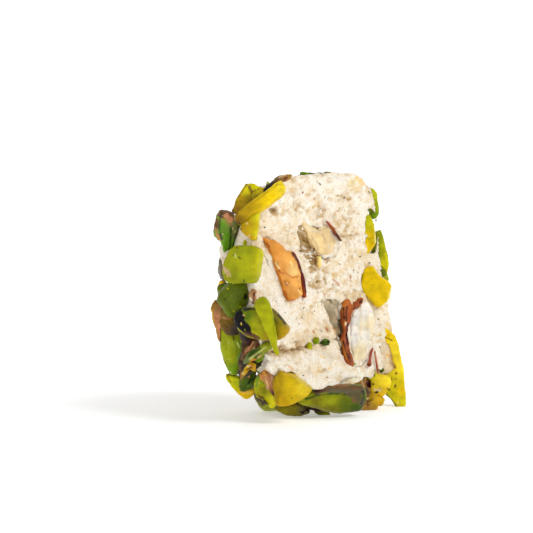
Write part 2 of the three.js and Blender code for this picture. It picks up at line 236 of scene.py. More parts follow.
# ---- materials ---------------------------------------------------------------------------------
MOTTLE_BY_CHANNEL = (0.7, 1.0, 1.6)  # most from blue, so that the hollows are warm as well as dark
MOTTLE_MIDDLE = 0.6
GLOSS_RANGE = 0.12
RELIEF_DEPTH = 0.5  # of the size of the relief's lumps


def set_inputs(node, values):
    for name, value in values.items():
        node.inputs[name].default_value = value
    return node


def food_material(name, roughness, subsurface, radius, mottle, mottle_size, bump, bump_size, specular):
    """A finish whose broad colour is the mesh's tint, broken up by finer mottling and relief."""
    material = bpy.data.materials.new(name)
    material.use_nodes = True
    nodes, links = material.node_tree.nodes, material.node_tree.links
    shader = set_inputs(nodes["Principled BSDF"], {
        "Subsurface Weight": subsurface,
        "Subsurface Radius": radius,
        "Subsurface Scale": METRES,
        "Specular IOR Level": specular,
    })
    place = nodes.new("ShaderNodeTexCoord")
    tint = nodes.new("ShaderNodeAttribute")
    tint.attribute_name = "tint"

    grain = set_inputs(nodes.new("ShaderNodeTexNoise"), {
        "Scale": 1 / (mottle_size * METRES),
        "Detail": 4,
        "Roughness": 0.65,
    })
    links.new(place.outputs["Object"], grain.inputs["Vector"])
    slope = [4 * mottle * part for part in MOTTLE_BY_CHANNEL]
    depth = nodes.new("ShaderNodeVectorMath")
    depth.operation = "MULTIPLY_ADD"
    set_inputs(depth, {1: slope, 2: [1 - MOTTLE_MIDDLE * part for part in slope]})
    links.new(grain.outputs["Fac"], depth.inputs[0])
    colour = nodes.new("ShaderNodeVectorMath")
    colour.operation = "MULTIPLY"
    links.new(tint.outputs["Color"], colour.inputs[0])
    links.new(depth.outputs["Vector"], colour.inputs[1])
    links.new(colour.outputs["Vector"], shader.inputs["Base Color"])

    gloss = set_inputs(nodes.new("ShaderNodeMapRange"), {
        "To Min": roughness - GLOSS_RANGE,
        "To Max": roughness + GLOSS_RANGE,
    })
    links.new(grain.outputs["Fac"], gloss.inputs["Value"])
    links.new(gloss.outputs["Result"], shader.inputs["Roughness"])

    relief = set_inputs(nodes.new("ShaderNodeTexNoise"), {"Scale": 1 / (bump_size * METRES), "Detail": 5})
    links.new(place.outputs["Object"], relief.inputs["Vector"])
    raised = set_inputs(nodes.new("ShaderNodeBump"), {
        "Strength": bump,
        "Distance": bump_size * METRES * RELIEF_DEPTH,
    })
    links.new(relief.outputs["Fac"], raised.inputs["Height"])
    links.new(raised.outputs["Normal"], shader.inputs["Normal"])
    return material


NOUGAT = food_material(
    "nougat_crumb", roughness=0.75, subsurface=0.16, radius=(0.9, 0.8, 0.65),
    mottle=0.2, mottle_size=0.32, bump=1.0, bump_size=0.3, specular=0.15)
PISTACHIO = food_material(
    "pistachio_flesh", roughness=0.36, subsurface=0.15, radius=(0.7, 0.6, 0.1),
    mottle=0.12, mottle_size=0.5, bump=0.2, bump_size=0.25, specular=0.1)
SKIN = food_material(
    "nut_skin", roughness=0.5, subsurface=0.05, radius=(0.4, 0.2, 0.1),
    mottle=0.25, mottle_size=0.3, bump=0.6, bump_size=0.2, specular=0.16)
ALMOND = food_material(
    "almond_flesh", roughness=0.45, subsurface=0.25, radius=(1.0, 0.7, 0.4),
    mottle=0.07, mottle_size=0.5, bump=0.35, bump_size=0.25, specular=0.16)
# the finish of a detail, by its slot
FINISHES = {
    "nougat": NOUGAT,
    "pistachio_green": PISTACHIO,
    "pistachio_lime": PISTACHIO,
    "pistachio_skin": SKIN,
    "roasted_almond": SKIN,
    "blanched_almond": ALMOND,
}


# ---- nuts that the photograph shows --------------------------------------------------------------
NUT_VOXEL = 0.16
DETAIL_VOXEL = 0.12
LAYERS = 9  # rings of corners from the back of a cutout to its front
OUTLINE_STEP = 0.3
JAG_SIZE = 0.8
SLICE_EDGE = 4  # a cutout with at least this edge is a slice with sides, and a rounder one a kernel
SLICE_SIDE_SHOWS = 0.8  # how much of the thickness widens the outline
KERNEL_SIDE_SHOWS = SLICE_SIDE_SHOWS / 3
LEAST_NARROWING = 0.5
LEAST_INSET = 0.02
KERNEL_ROUNDING = 0.98  # of half the width
SLICE_ROUNDING = (0.5, 0.3, 0.45)  # the least of half the width, the thickness and mm
DAB_RADIUS = 1.5  # pixels
DAB_FALLOFF = 2.2
STROKE_OUTSIDE = 0.7  # pixels over which a stroke's edge fades
STROKE_INSIDE = 0.5
STROKE_RAGGED = 0.45

LEMON = (250, 222, 48)
PALE_LEMON = (255, 238, 130)
YELLOW = (242, 206, 8)
GOLD = (220, 176, 10)
MUSTARD = (188, 154, 12)
BRONZE = (132, 100, 14)
UMBER = (96, 68, 16)
CHARTREUSE = (214, 206, 20)
LIME = (190, 192, 14)
LEAF = (156, 164, 12)
OLIVE = (124, 116, 12)
GREEN = (110, 146, 18)
FRESH_GREEN = (92, 154, 10)
MOSS = (92, 108, 18)
DEEP_GREEN = (56, 82, 18)
BLACK_GREEN = (22, 30, 12)
SAGE = (120, 132, 80)
PALE_GREEN = (208, 212, 124)
SPRING_GREEN = (112, 148, 50)
TAN_SKIN = (176, 128, 78)
PINK_SKIN = (200, 138, 98)
BROWN_SKIN = (112, 82, 52)
RUST = (164, 80, 34)
DARK_RUST = (92, 44, 20)
GREY_SKIN = (98, 88, 60)
BLACK_SKIN = (24, 23, 26)
PURPLE_SKIN = (92, 52, 48)
DARK_RED = (120, 34, 24)
WINE = (60, 18, 26)
AMBER = (242, 172, 80)
APRICOT = (252, 208, 130)
HONEY = (212, 138, 50)
COPPER = (194, 110, 36)
PALE_FLESH = (242, 224, 180)
MILK = (247, 241, 232)
LILAC = (222, 212, 214)
PALE_CRUMB = (232, 214, 150)
SAND = (204, 176, 130)
DUSK = (62, 56, 54)
CLAY = (150, 110, 60)
ROSE = (180, 92, 74)
CURD = (248, 240, 226)
IVORY = (234, 214, 178)
BLANCHED = (238, 208, 152)
STONE = (188, 174, 148)
DRIFT = (146, 130, 100)


def direction(lon, lat):
    """Longitude 0 looks out of the cut face, -90 to its left and 180 to the back. Latitude is upwards."""
    east, north = math.radians(lon), math.radians(lat)
    return Vector((math.sin(east) * math.cos(north), -math.cos(east) * math.cos(north), math.sin(north)))


def to_pixels(points):
    """Where the photograph's camera sees points of the half frame."""
    turn, shift = to_array(HALF_TO_ROW)
    offset = (points @ turn.T + shift) / METRES - np.array(EYE)
    depth = -(offset @ np.array(VIEW_BACK))
    x = offset @ np.array(VIEW_RIGHT) / depth * FOCAL_PIXELS + PHOTO_SIZE / 2
    y = PHOTO_SIZE / 2 - offset @ np.array(VIEW_UP) / depth * FOCAL_PIXELS
    return np.stack([x, y], 1)


def on_plane(pixel, spot, normal):
    """The point of a plane of the half frame that the camera sees at a pixel."""
    ray = VIEW_RIGHT * (pixel[0] - PHOTO_SIZE / 2) - VIEW_UP * (pixel[1] - PHOTO_SIZE / 2)
    ray -= VIEW_BACK * FOCAL_PIXELS
    eye = ROW_TO_HALF @ (EYE * METRES)
    ray = ROW_TO_HALF.to_3x3() @ ray
    return eye + ray * ((spot - eye).dot(normal) / ray.dot(normal))


def distance_to_line(pixels, line):
    """Distance in pixels to a line through several corners, or to one spot."""
    line = [np.array(corner, float) for corner in line]
    if len(line) == 1:
        return np.linalg.norm(pixels - line[0], axis=1)
    nearest = np.full(len(pixels), 1e9)
    for start, end in zip(line, line[1:]):
        span = end - start
        t = np.clip((pixels - start) @ span / max(span @ span, 1e-9), 0, 1)
        nearest = np.minimum(nearest, np.linalg.norm(pixels - start - t[:, None] * span, axis=1))
    return nearest


def blended(pixels, dabs):
    """Colours between a few dabs of [x, y, colour]."""
    total = np.zeros((len(pixels), 3))
    weights = np.zeros(len(pixels))
    for x, y, colour in dabs:
        weight = 1 / (np.hypot(pixels[:, 0] - x, pixels[:, 1] - y) + DAB_RADIUS) ** DAB_FALLOFF
        total += weight[:, None] * linear(colour)
        weights += weight
    return total / weights[:, None]


def stroke_cover(width, away):
    """How fully a stroke covers points at these distances in pixels from its line."""
    return smoothstep(width / 2 + STROKE_OUTSIDE, width / 2 - STROKE_INSIDE, away)


def painted(colours, pixels, strokes, ragged):
    """Colours with strokes of [colour, width, corners] over them. ragged is a noise of their edges."""
    for colour, width, line in strokes:
        away = distance_to_line(pixels, line) + ragged * min(width, 3.0) * STROKE_RAGGED
        colours = mixed(colours, linear(colour), stroke_cover(width, away))
    return colours


def narrowed(outline, normal, thick):
    """The outline without the width that the solid's own thickness adds to it in the photograph."""
    corners = np.array(outline, float)
    middle = (corners.min(0) + corners.max(0)) / 2
    size = corners.max(0) - corners.min(0)
    aside = [abs(normal.dot(axis)) for axis in (RIGHT_IN_HALF, UP_IN_HALF)]
    share = np.clip(1 - np.array(aside) * thick * PIXELS_PER_MM / size, LEAST_NARROWING, 1)
    return (corners - middle) * share + middle


def inset_ring(flat, distance):
    """A closed outline drawn in by a distance, more bluntly at its narrow ends."""
    middle = (flat.min(0) + flat.max(0)) / 2
    _, _, axes = np.linalg.svd(flat - flat.mean(0), full_matrices=False)
    local = (flat - middle) @ axes.T
    reach = np.abs(local).max(0)
    local *= np.clip(1 - distance / reach, LEAST_INSET, 1)
    return local @ axes + middle


def jagged(flat, depth, seed):
    """A closed outline in short steps, each moved by noise."""
    fine = []
    for start, end in zip(flat, np.roll(flat, -1, axis=0)):
        steps = max(1, int(np.linalg.norm(end - start) / OUTLINE_STEP))
        fine.extend(start + (end - start) * step / steps for step in range(steps))
    fine = np.array(fine)
    place = np.column_stack([fine, np.zeros(len(fine))])
    return fine + depth * np.column_stack([noise(place, JAG_SIZE, seed + axis, 2) for axis in (0, 1)])


def cutout(outline, spot, facing, thick, edge, front, curl, jag, seed):
    """A closed solid whose outline is what the photograph shows, on a plane through a spot.

    edge is 2 for a kernel's round side and 5 or more for a slice with sharp sides. front is how far
    the solid stands out of the plane, half its thickness if that is None.
    """
    front = thick / 2 if front is None else front
    normal = direction(*facing)
    is_slice = edge >= SLICE_EDGE
    outline = narrowed(outline, normal, thick * (SLICE_SIDE_SHOWS if is_slice else KERNEL_SIDE_SHOWS))
    east = Vector((0, 0, 1)).cross(normal).normalized()
    north = normal.cross(east)
    corners = [on_plane(pixel, spot, normal) - spot for pixel in outline]
    flat = np.array([(corner.dot(east), corner.dot(north)) for corner in corners])
    flat = jagged(flat, jag, seed)
    _, _, axes = np.linalg.svd(flat - flat.mean(0), full_matrices=False)
    local = (flat - flat.mean(0)) @ axes.T
    half_width = np.abs(local).max(0).min()
    round_by = half_width * KERNEL_ROUNDING
    if is_slice:
        of_width, of_thickness, most = SLICE_ROUNDING
        round_by = min(half_width * of_width, thick * of_thickness, most)
    reach = np.abs(local[:, 0]).max()
    solid = bmesh.new()
    rings = []
    for layer in range(LAYERS):
        turn = math.pi * (layer / (LAYERS - 1) - 0.5)
        height = math.copysign(abs(math.sin(turn)) ** (2 / edge), turn) if turn else 0.0
        width = abs(math.cos(turn)) ** (2 / edge)
        rise = height * (front if height > 0 else thick - front)
        ring = inset_ring(flat, round_by * (1 - width))
        bend = -curl * (((ring - flat.mean(0)) @ axes[0]) / reach) ** 2
        rings.append([
            solid.verts.new(spot + east * float(x) + north * float(y) + normal * (rise + float(b)))
            for (x, y), b in zip(ring, bend)
        ])
    for below, above in zip(rings, rings[1:]):
        for corner in range(len(flat)):
            after = (corner + 1) % len(flat)
            solid.faces.new((below[corner], below[after], above[after], above[corner]))
    solid.faces.new(rings[0][::-1])
    solid.faces.new(rings[-1])
    bmesh.ops.triangulate(solid, faces=[face for face in solid.faces if len(face.verts) > 4])
    bmesh.ops.recalc_face_normals(solid, faces=solid.faces)
    mesh = bpy.data.meshes.new("cutout")
    solid.to_mesh(mesh)
    solid.free()
    return mesh


def node_middle(node):
    points = vectors(half_mesh(node).vertices)
    return Vector((points.min(0) + points.max(0)) / 2)


# each cutout has this many seeds of its own, counted from its group's first
SEEDS_EACH = 40
DETAIL_SEED = 3000
BED_SEED = 5000
BACK_SEED = 6000
SEAT_SEED = 7000
GRAIN_SHORTENED = 0.7  # the grain runs along an axis, so its noise is drawn out along it
GRAIN_HEIGHT = 0.08
NUT_SWELL = 0.05
NUT_LUMPS = (0.16, 3.2)  # height and size in mm
NUT_PITS = (0.04, 0.55)
# what a look leaves out, beside its outline, dabs and thickness in mm
PLAIN_LOOK = {
    "facing": (0, 0), "edge": 5, "front": None, "curl": 0.0, "nudge": 0.0, "rough": 1.0, "tone": 1.0,
    "strokes": (), "jag": 0.06,
}
SKIN_JAG = 0.16
DAB_WARP = 1.6  # pixels
BACK_TONES = (0.7, 1.3)
NOUGAT_PITS = 0.45
UNEVEN = 0.16
UNEVEN_NOUGAT = 0.05
UNEVEN_GRAIN = 0.08


def drawn_along(points, axis):
    """Points whose noise is a grain along an axis."""
    return points - GRAIN_SHORTENED * ((points @ axis)[:, None] * axis)


def nut_relief(points, grain, seed, lumps, pits, grain_share=1.0):
    """The uneven surface of a nut, in mm, from lumps and pits of [height, size]."""
    return (
        lumps[0] * noise(points, lumps[1], seed + 1, 2)
        + GRAIN_HEIGHT * noise(grain, 1.0, seed + 2, 3) * grain_share
        + pits[0] * noise(points, pits[1], seed + 3, 2)
    )


def build_cutout(name, look, material, spot, seed, nodes=(), voxel=NUT_VOXEL):
    """One nut, flake or sliver with the outline and the colours that the photograph shows."""
    look = PLAIN_LOOK | ({"jag": SKIN_JAG} if material is SKIN else {}) | look
    facing = look["facing"]
    spot = Vector(spot) + VIEW_IN_HALF * look["nudge"]
    mesh = cutout(look["outline"], spot, facing, look["thick"], look["edge"], look["front"], look["curl"],
                  look["jag"], seed)
    mesh = evaluated(mesh, [
        ("REMESH", {"mode": "VOXEL", "voxel_size": voxel}),
        ("SMOOTH", {"factor": 0.5, "iterations": 2}),
    ])
    points = vectors(mesh.vertices)
    normals = vectors(mesh.vertices, "normal")
    grain = drawn_along(points, np.array(direction(*facing).cross(Vector((0.3, 0, 1))).normalized()))
    rise = NUT_SWELL + look["rough"] * nut_relief(points, grain, seed, NUT_LUMPS, NUT_PITS)
    points = points + normals * rise[:, None]
    move_points(mesh, points)

    pixels = to_pixels(points)
    warp = np.stack([noise(points, 2.0, seed + axis, 2) for axis in (4, 5)], 1)
    colours = blended(pixels + DAB_WARP * warp, look["dabs"])
    behind = smoothstep(0.0, -0.5, normals @ np.array(direction(*facing)))
    if "back" in look:
        streak = 0.5 + 0.5 * noise(grain, 0.8, seed + 6, 3)
        dark, light = (linear(look["back"]) * tone for tone in BACK_TONES)
        colours = mixed(colours, mixed(dark, light, streak), behind)
    front = painted(colours, pixels, look["strokes"], noise(points, 0.8, seed + 7, 2))
    colours = mixed(front, colours, behind)
    uneven = UNEVEN
    if material is NOUGAT:
        pits = smoothstep(0.2, 0.9, noise(points, 0.7, seed + 10, 2))
        colours = mixed(colours, TAN, NOUGAT_PITS * pits)
        uneven = UNEVEN_NOUGAT
    shade = look["tone"] * (
        1 + uneven * noise(points, 1.2, seed + 8, 3) + UNEVEN_GRAIN * noise(grain, 0.5, seed + 9, 2)
    )
    set_tint(mesh, colours * shade[:, None])
    return add_piece(name, mesh, material, nodes)


# Each nut that shows: the way its plane faces, its thickness in mm, its outline in the photograph's pixels,
# a few dabs [x, y, colour] that its colour runs between, and strokes [colour, width, corners] over them.
# On some nuts these dabs and strokes also paint light and shade, as noted at each.
NUTS = {
    # painted light: lemon and lighter at the upper right, bronze and darker towards the lower left, with an
    # umber stroke of painted shadow at the lower left end
    "slab_top": dict(
        facing=(-64, 14), thick=1.7, edge=10, rough=0.5, back=BRONZE,
        outline=[(282.6, 181), (286, 186), (285.2, 191), (282.3, 194.3), (277.4, 198.4), (269.6, 204.8),
            (262, 210.5), (252, 215.5), (246.5, 221), (240.4, 226), (235.8, 223.4), (234, 217),
            (239.5, 212.3), (246.5, 207.3), (255, 201), (263.3, 194.8), (271, 189), (277.4, 184)],
        dabs=[(283, 187, LEMON), (272, 196, YELLOW), (262, 204, YELLOW), (250, 212, MUSTARD),
            (239, 221, BRONZE)],
        strokes=[(MUSTARD, 1.0, [(239, 212.6), (255, 201.2), (268, 191.6), (278, 184.2)]),
            (LEMON, 3.0, [(279, 187), (283, 189.6)]), (UMBER, 1.6, [(236.5, 222), (240, 224.5)]),
            (UMBER, 1.2, [(281.8, 194)])]),
    "sliver_top": dict(
        facing=(-64, 8), thick=1.3, edge=6, tone=1.25, rough=0.5, back=OLIVE,
        outline=[(246.8, 183.2), (243, 189.2), (238, 196.4), (235.8, 201.8), (234.6, 207), (231.4, 212),
            (236, 215), (243, 212), (250, 207), (254, 201), (253.6, 195.6), (251.8, 190), (249.2, 185)],
        dabs=[(245, 190, CHARTREUSE), (240, 199, MUSTARD), (237, 209, BRONZE), (250, 203, BRONZE)],
        strokes=[(BRONZE, 1.6, [(247, 184)]), (BRONZE, 1.0, [(247, 184), (243, 190), (238, 197)]),
            (BRONZE, 1.3, [(249, 187), (252, 193), (253.4, 199)])]),
    "leaf_top": dict(
        facing=(-62, 8), thick=1.2, edge=6, tone=1.1, rough=0.6, back=OLIVE,
        outline=[(247.6, 184), (250.5, 184), (255, 184.2), (258.5, 186.4), (261.5, 187.8), (265.5, 188),
            (269.5, 190), (266, 195), (260, 199.5), (254.5, 203), (252.6, 198), (252, 192.5),
            (249.8, 187.5)],
        dabs=[(255, 188, CHARTREUSE), (264, 192, GOLD), (257, 198, OLIVE)],
        strokes=[(UMBER, 1.2, [(255, 190.5)]), (BRONZE, 1.0, [(249.6, 186), (252.5, 193)])]),
    "strip_top": dict(
        facing=(-64, 22), thick=0.9, tone=1.2, nudge=0.8, rough=1.6, curl=0.3, back=UMBER, material=SKIN,
        outline=[(263, 192), (266.8, 186.4), (272, 181), (277, 177.6), (283, 174.4), (288, 173),
            (293.6, 173), (291.6, 176.6), (286.4, 179.6), (281.8, 181.8), (277.4, 185), (271.8, 189.2),
            (266.5, 192.4)],
        dabs=[(267, 189, BLACK_GREEN), (273, 184, DUSK), (279, 180, BROWN_SKIN), (286, 177, TAN_SKIN),
            (291, 175, BRONZE)],
        strokes=[(DARK_RUST, 2.0, [(284.5, 179.6), (286.5, 178)]), (BLACK_GREEN, 1.4, [(266, 190),
            (272, 185.4), (277, 182.4)]), (SAND, 0.8, [(279, 177.4), (285, 175)])]),
    "slice_upper": dict(
        facing=(-66, 8), thick=1.4, edge=7, rough=0.9, nudge=-0.3, back=MUSTARD,
        outline=[(261, 209), (259.4, 218.3), (258.6, 226.8), (257.9, 232.4), (256.8, 239.2),
            (253.5, 240.6), (249.3, 238.6), (243.7, 234.7), (239.8, 229.6), (240.2, 224), (245, 219.5),
            (249.5, 215.5), (255, 211)],
        dabs=[(257, 218, CHARTREUSE), (250, 224, MUSTARD), (244, 229, MUSTARD), (256, 234, CHARTREUSE),
            (249, 235, GOLD)],
        strokes=[(PALE_CRUMB, 1.6, [(249.5, 235.5)]), (PALE_CRUMB, 1.2, [(246.5, 223), (247.2, 223.6)]),
            (COPPER, 1.2, [(251.5, 237)]), (BRONZE, 1.6, [(241.6, 229.2)]),
            (BRONZE, 1.0, [(257.6, 237.6)])]),
    "kernel_far_left": dict(
        facing=(-72, 6), thick=3.4, edge=2.6, tone=1.1, rough=1.3, back=BROWN_SKIN,
        outline=[(220.5, 209.6), (225, 210.2), (230.6, 211.8), (234.4, 215.3), (237, 223), (238.4, 229.6),
            (236.4, 234), (234.2, 242), (231.2, 250.7), (228.2, 254.7), (224.5, 249.2), (221.3, 241),
            (217.5, 241), (214.4, 236), (214.7, 225.4), (216.3, 217.6)],
        dabs=[(223, 224, FRESH_GREEN), (226, 236, FRESH_GREEN), (230, 246, FRESH_GREEN), (234, 230, SAGE),
            (231, 216, PINK_SKIN)],
        strokes=[(BROWN_SKIN, 7.0, [(219, 214), (226, 213), (232, 215.6)]), (BROWN_SKIN, 4.5, [(217, 220),
            (216.5, 229)]), (TAN_SKIN, 3.4, [(216.6, 230), (217, 236), (219.4, 240)]),
            (DUSK, 1.4, [(220, 219), (219.4, 230), (221.4, 239)]), (PINK_SKIN, 4.2, [(227, 215),
            (231, 218), (230.6, 225)]), (DUSK, 1.2, [(222, 211.6), (220, 218)]), (SAGE, 4.4, [(234, 223),
            (233.6, 236)]), (PALE_CRUMB, 1.0, [(232.6, 228), (232.8, 229)]),
            (PALE_CRUMB, 1.0, [(235, 232)]), (DEEP_GREEN, 1.6, [(231, 224), (230.6, 240), (229, 250)]),
            (SPRING_GREEN, 1.2, [(223, 222), (224, 240)]), (ROSE, 1.6, [(229, 252.5)])]),
    # painted light: chartreuse and lighter towards the right, with a lime stroke down its right edge, and
    # leaf green and darker at the top and the bottom
    "slab_left": dict(
        facing=(-80, 6), thick=1.9, edge=7, tone=0.92, rough=0.45, back=OLIVE,
        outline=[(236.5, 246.2), (245, 245.4), (255.2, 245.8), (262.2, 249), (263, 255), (261.3, 269),
            (260, 277.6), (256.3, 283.3), (251, 283.6), (245, 282.6), (236.7, 283.4), (229.4, 282.8),
            (224.6, 280.2), (223.3, 273), (223.7, 264), (227.3, 256), (230.8, 250.2)],
        dabs=[(236, 252, LEAF), (248, 251, LEAF), (243, 262, LIME), (256, 266, CHARTREUSE),
            (260, 256, CHARTREUSE), (233, 276, LEAF), (247, 279, LEAF)],
        strokes=[(SAND, 4.0, [(225, 269), (228.4, 273)]), (BLACK_GREEN, 0.9, [(238.8, 257),
            (240.6, 258.8)]), (PALE_GREEN, 1.0, [(235, 254), (235.6, 257)]), (LIME, 1.6, [(261, 254),
            (260, 268)])]),
    "kernel_left": dict(
        facing=(-80, 0), thick=3.2, edge=2.4, tone=1.1, rough=0.8, back=GREY_SKIN,
        outline=[(243, 280), (248, 284), (250, 294), (249.2, 301), (246.6, 307), (239, 312), (235, 318.5),
            (229, 316.5), (224, 307), (217.4, 299.6), (219.5, 292), (225, 284.5), (231, 280)],
        dabs=[(240, 287, MOSS), (228, 291, MOSS), (234, 299, MOSS), (231, 312, MOSS), (243, 305, MOSS)],
        strokes=[(BLACK_GREEN, 3.2, [(246, 294.5), (245.6, 298)]), (BLACK_GREEN, 1.2, [(225, 299)]),
            (LEAF, 1.0, [(226.5, 287.5), (227.6, 288.6)]), (PALE_GREEN, 1.0, [(247, 284),
            (247.5, 289)])]),
    "chip_left": dict(
        facing=(-62, 0), thick=1.0, tone=1.3, rough=1.1, jag=0.07, back=BROWN_SKIN, material=SKIN,
        outline=[(215.6, 300.2), (219.2, 302.6), (224, 304.7), (225.4, 308.3), (224.3, 314.7),
            (222.6, 321.7), (221.6, 329.4), (221.5, 337), (220.6, 342.4), (217.4, 338.6), (215.2, 332),
            (213.1, 322.4), (211.5, 314.7), (210.7, 307.6), (212.6, 303.8)],
        dabs=[(215, 305, BRONZE), (221, 307, CLAY), (218, 317, PINK_SKIN), (219, 328, PINK_SKIN),
            (219, 337, TAN_SKIN)],
        strokes=[(MUSTARD, 1.2, [(211.6, 309), (213.6, 321), (216.5, 334)]), (UMBER, 1.2, [(216, 301.6),
            (217, 304)])]),
    "kernel_dark": dict(
        facing=(-62, -4), thick=3.4, edge=3.6, tone=0.76, rough=0.8, back=DUSK,
        outline=[(236, 310.6), (241.6, 308.2), (248, 306.4), (255, 306), (263, 306.2), (271.8, 308.2),
            (277.2, 312.7), (281.3, 317.2), (285.5, 322.8), (289.3, 328.6), (288.9, 333.2), (286, 337),
            (281.2, 339.5), (275, 339.8), (269, 339.4), (263, 339.8), (257.3, 339), (249.2, 336.8),
            (243.5, 333.4), (238.8, 330.4), (235.6, 323.9), (233.7, 318)],
        dabs=[(247, 317, GREEN), (254, 323, LIME), (262, 330, LIME), (276, 321, OLIVE), (284, 332, GOLD),
            (271, 334, MUSTARD)],
        strokes=[(BLACK_SKIN, 13.0, [(236.5, 313), (237, 322)]), (BLACK_SKIN, 10.0, [(240, 323),
            (246, 330)]), (DUSK, 3.4, [(244, 309.8), (255, 308.8)]), (BLACK_SKIN, 1.6, [(271.5, 309.4),
            (277, 314), (282, 319.6), (285, 323.6)]), (BROWN_SKIN, 3.2, [(244, 332.6), (251, 335.4),
            (259, 338)]), (PURPLE_SKIN, 1.8, [(247, 333), (251, 333.6)]), (APRICOT, 1.2, [(244, 315)]),
            (CHARTREUSE, 1.0, [(252, 331), (258, 334.6)]), (DEEP_GREEN, 1.6, [(258, 310), (262, 322),
            (268, 334)])]),
    "spike_left": dict(
        facing=(-58, 0), thick=1.3, tone=0.82, rough=0.45, back=GREEN,
        outline=[(262.6, 296), (266.2, 297.6), (269.3, 302.7), (272, 309), (273.6, 315.5), (275, 322),
            (275.7, 331), (276.4, 339), (277.4, 346), (279.6, 354), (277.2, 355.4), (274.8, 351),
            (272.1, 344), (269.2, 336.6), (265.6, 331), (261.4, 322.5), (257.9, 314.8), (254.6, 307),
            (255.1, 301), (258.5, 297.6)],
        dabs=[(262, 300, LEAF), (264, 309, LIME), (269, 322, LIME), (273, 338, LIME), (277, 350, LIME)],
        strokes=[(LIME, 1.2, [(256, 305), (262, 320), (267, 331)]), (LEAF, 1.6, [(271.4, 312), (274, 325),
            (274.8, 336)])]),
    "kernel_lower_left": dict(
        facing=(-72, -8), thick=3.4, edge=2.4, tone=1.15, rough=0.5, back=MOSS,
        outline=[(221.8, 325.6), (227, 325.1), (232.6, 324.1), (237.2, 327.7), (241.3, 332), (244.8, 339),
            (246, 345.5), (245, 352.5), (244, 361), (241.5, 369), (238.3, 375), (232.6, 375),
            (228.6, 368.7), (225, 362.3), (221.6, 353), (219.4, 344), (220.7, 335.5), (221, 330.4)],
        dabs=[(230, 331, LEAF), (226, 345, LEAF), (232, 356, LEAF), (236, 370, GREEN),
            (242, 345, SPRING_GREEN)],
        strokes=[(BLACK_GREEN, 1.1, [(233.4, 337), (234, 340.6)]), (PALE_GREEN, 0.9, [(237, 342),
            (239.6, 347.4)]), (PALE_GREEN, 1.0, [(230, 327)]), (PALE_GREEN, 1.0, [(228, 359.4)]),
            (PALE_GREEN, 1.0, [(231, 359.4)]), (DEEP_GREEN, 2.0, [(244.6, 344), (242.6, 351)])]),
    "leaf_left": dict(
        facing=(-60, 4), thick=0.8, rough=1.8, jag=0.16, back=DEEP_GREEN,
        outline=[(269, 344.6), (269.6, 348.4), (264.6, 352.6), (262.6, 357), (256, 360.6), (249.6, 363.4),
            (242.4, 364.4), (243.8, 358.4), (247, 353), (252, 349.4), (258.4, 346.4), (264, 344.6)],
        dabs=[(247, 360, SAGE), (255, 355, SAGE), (252, 352, SPRING_GREEN), (264, 348, LEAF)],
        strokes=[(DEEP_GREEN, 2.0, [(246, 358), (252, 353), (260, 348.6)]),
            (PALE_GREEN, 0.9, [(248, 360.6), (256, 354.4), (266, 347)]), (DEEP_GREEN, 1.6, [(256, 357.6),
            (261, 354)]), (HONEY, 1.1, [(250, 361.8), (255, 359.4)]), (APRICOT, 1.0, [(258, 357.6),
            (261, 355)])]),
    "slice_low_left": dict(
        facing=(-70, -6), thick=1.4, edge=6, tone=1.35, rough=0.8, back=UMBER,
        outline=[(226.4, 373.2), (231, 374.2), (236.7, 376.2), (241, 377.6), (246, 382.6), (250, 387.6),
            (254.6, 388.6), (254.4, 395.4), (249.8, 398.4), (247.1, 398.7), (241.3, 394.8),
            (236.4, 389.3), (231.4, 383.4), (227, 378.4)],
        dabs=[(230, 378, LIME), (237, 384, LEAF), (246, 392, GOLD), (252, 394, MUSTARD)],
        strokes=[(UMBER, 1.8, [(227, 373.8), (234, 376), (241, 378.6)]), (AMBER, 1.6, [(243, 392),
            (250, 392.4)]), (BRONZE, 1.0, [(226.8, 375.5), (231, 382)])]),
    # painted highlights: the single leaf and spring green dots
    "kernel_low_dark": dict(
        facing=(-72, -6), thick=2.8, edge=2.4, tone=1.2, rough=2.2, back=DEEP_GREEN,
        outline=[(246, 367.2), (249.3, 365.2), (253.6, 365.8), (255.8, 370), (256.8, 375), (256.1, 380),
            (253.8, 385.5), (250.7, 389.3), (245, 391.4), (241.2, 389.9), (239.5, 386.1), (239.3, 380.3),
            (242.7, 373.8), (244.7, 370)],
        dabs=[(246, 384, DEEP_GREEN), (251, 377, DEEP_GREEN), (248, 371, MOSS), (242, 380, MOSS)],
        strokes=[(AMBER, 2.2, [(248.6, 365.6), (252, 368), (254, 370.5)]), (APRICOT, 1.8, [(243.6, 371.6),
            (241.4, 375)]), (LEAF, 1.0, [(248.6, 372)]), (SPRING_GREEN, 1.0, [(248, 386.4)]),
            (BLACK_GREEN, 1.4, [(252, 379), (248.4, 383)]), (PINK_SKIN, 1.2, [(248, 375), (249, 377)])]),
    "slice_low_green": dict(
        facing=(-68, -6), thick=1.5, edge=6, tone=1.3, rough=0.6, back=MOSS,
        outline=[(258.5, 373), (263, 374), (268, 378.6), (272.2, 386), (275.8, 394), (277.1, 401),
            (276, 407), (273.8, 408.5), (270.8, 405.8), (266.6, 401.2), (261.7, 397.8), (256.2, 396.3),
            (254.4, 390), (254.6, 383), (256.2, 377.2)],
        dabs=[(259, 383, LEAF), (263, 392, OLIVE), (268, 390, LEAF), (273, 400, CHARTREUSE)],
        strokes=[(SPRING_GREEN, 1.0, [(260, 374.5), (257, 379), (256.4, 386)]),
            (UMBER, 2.4, [(257, 394.6), (262, 397.4)]), (PALE_GREEN, 1.2, [(273.6, 398.4)]),
            (PALE_GREEN, 1.0, [(259.4, 382.8)]), (UMBER, 1.0, [(264.6, 388.4)])]),
    # painted light: mustard and darker on the left with a mustard stroke down its left edge, lemon and
    # lighter to the right with a lemon stroke along its upper right edge
    "chunk_bottom": dict(
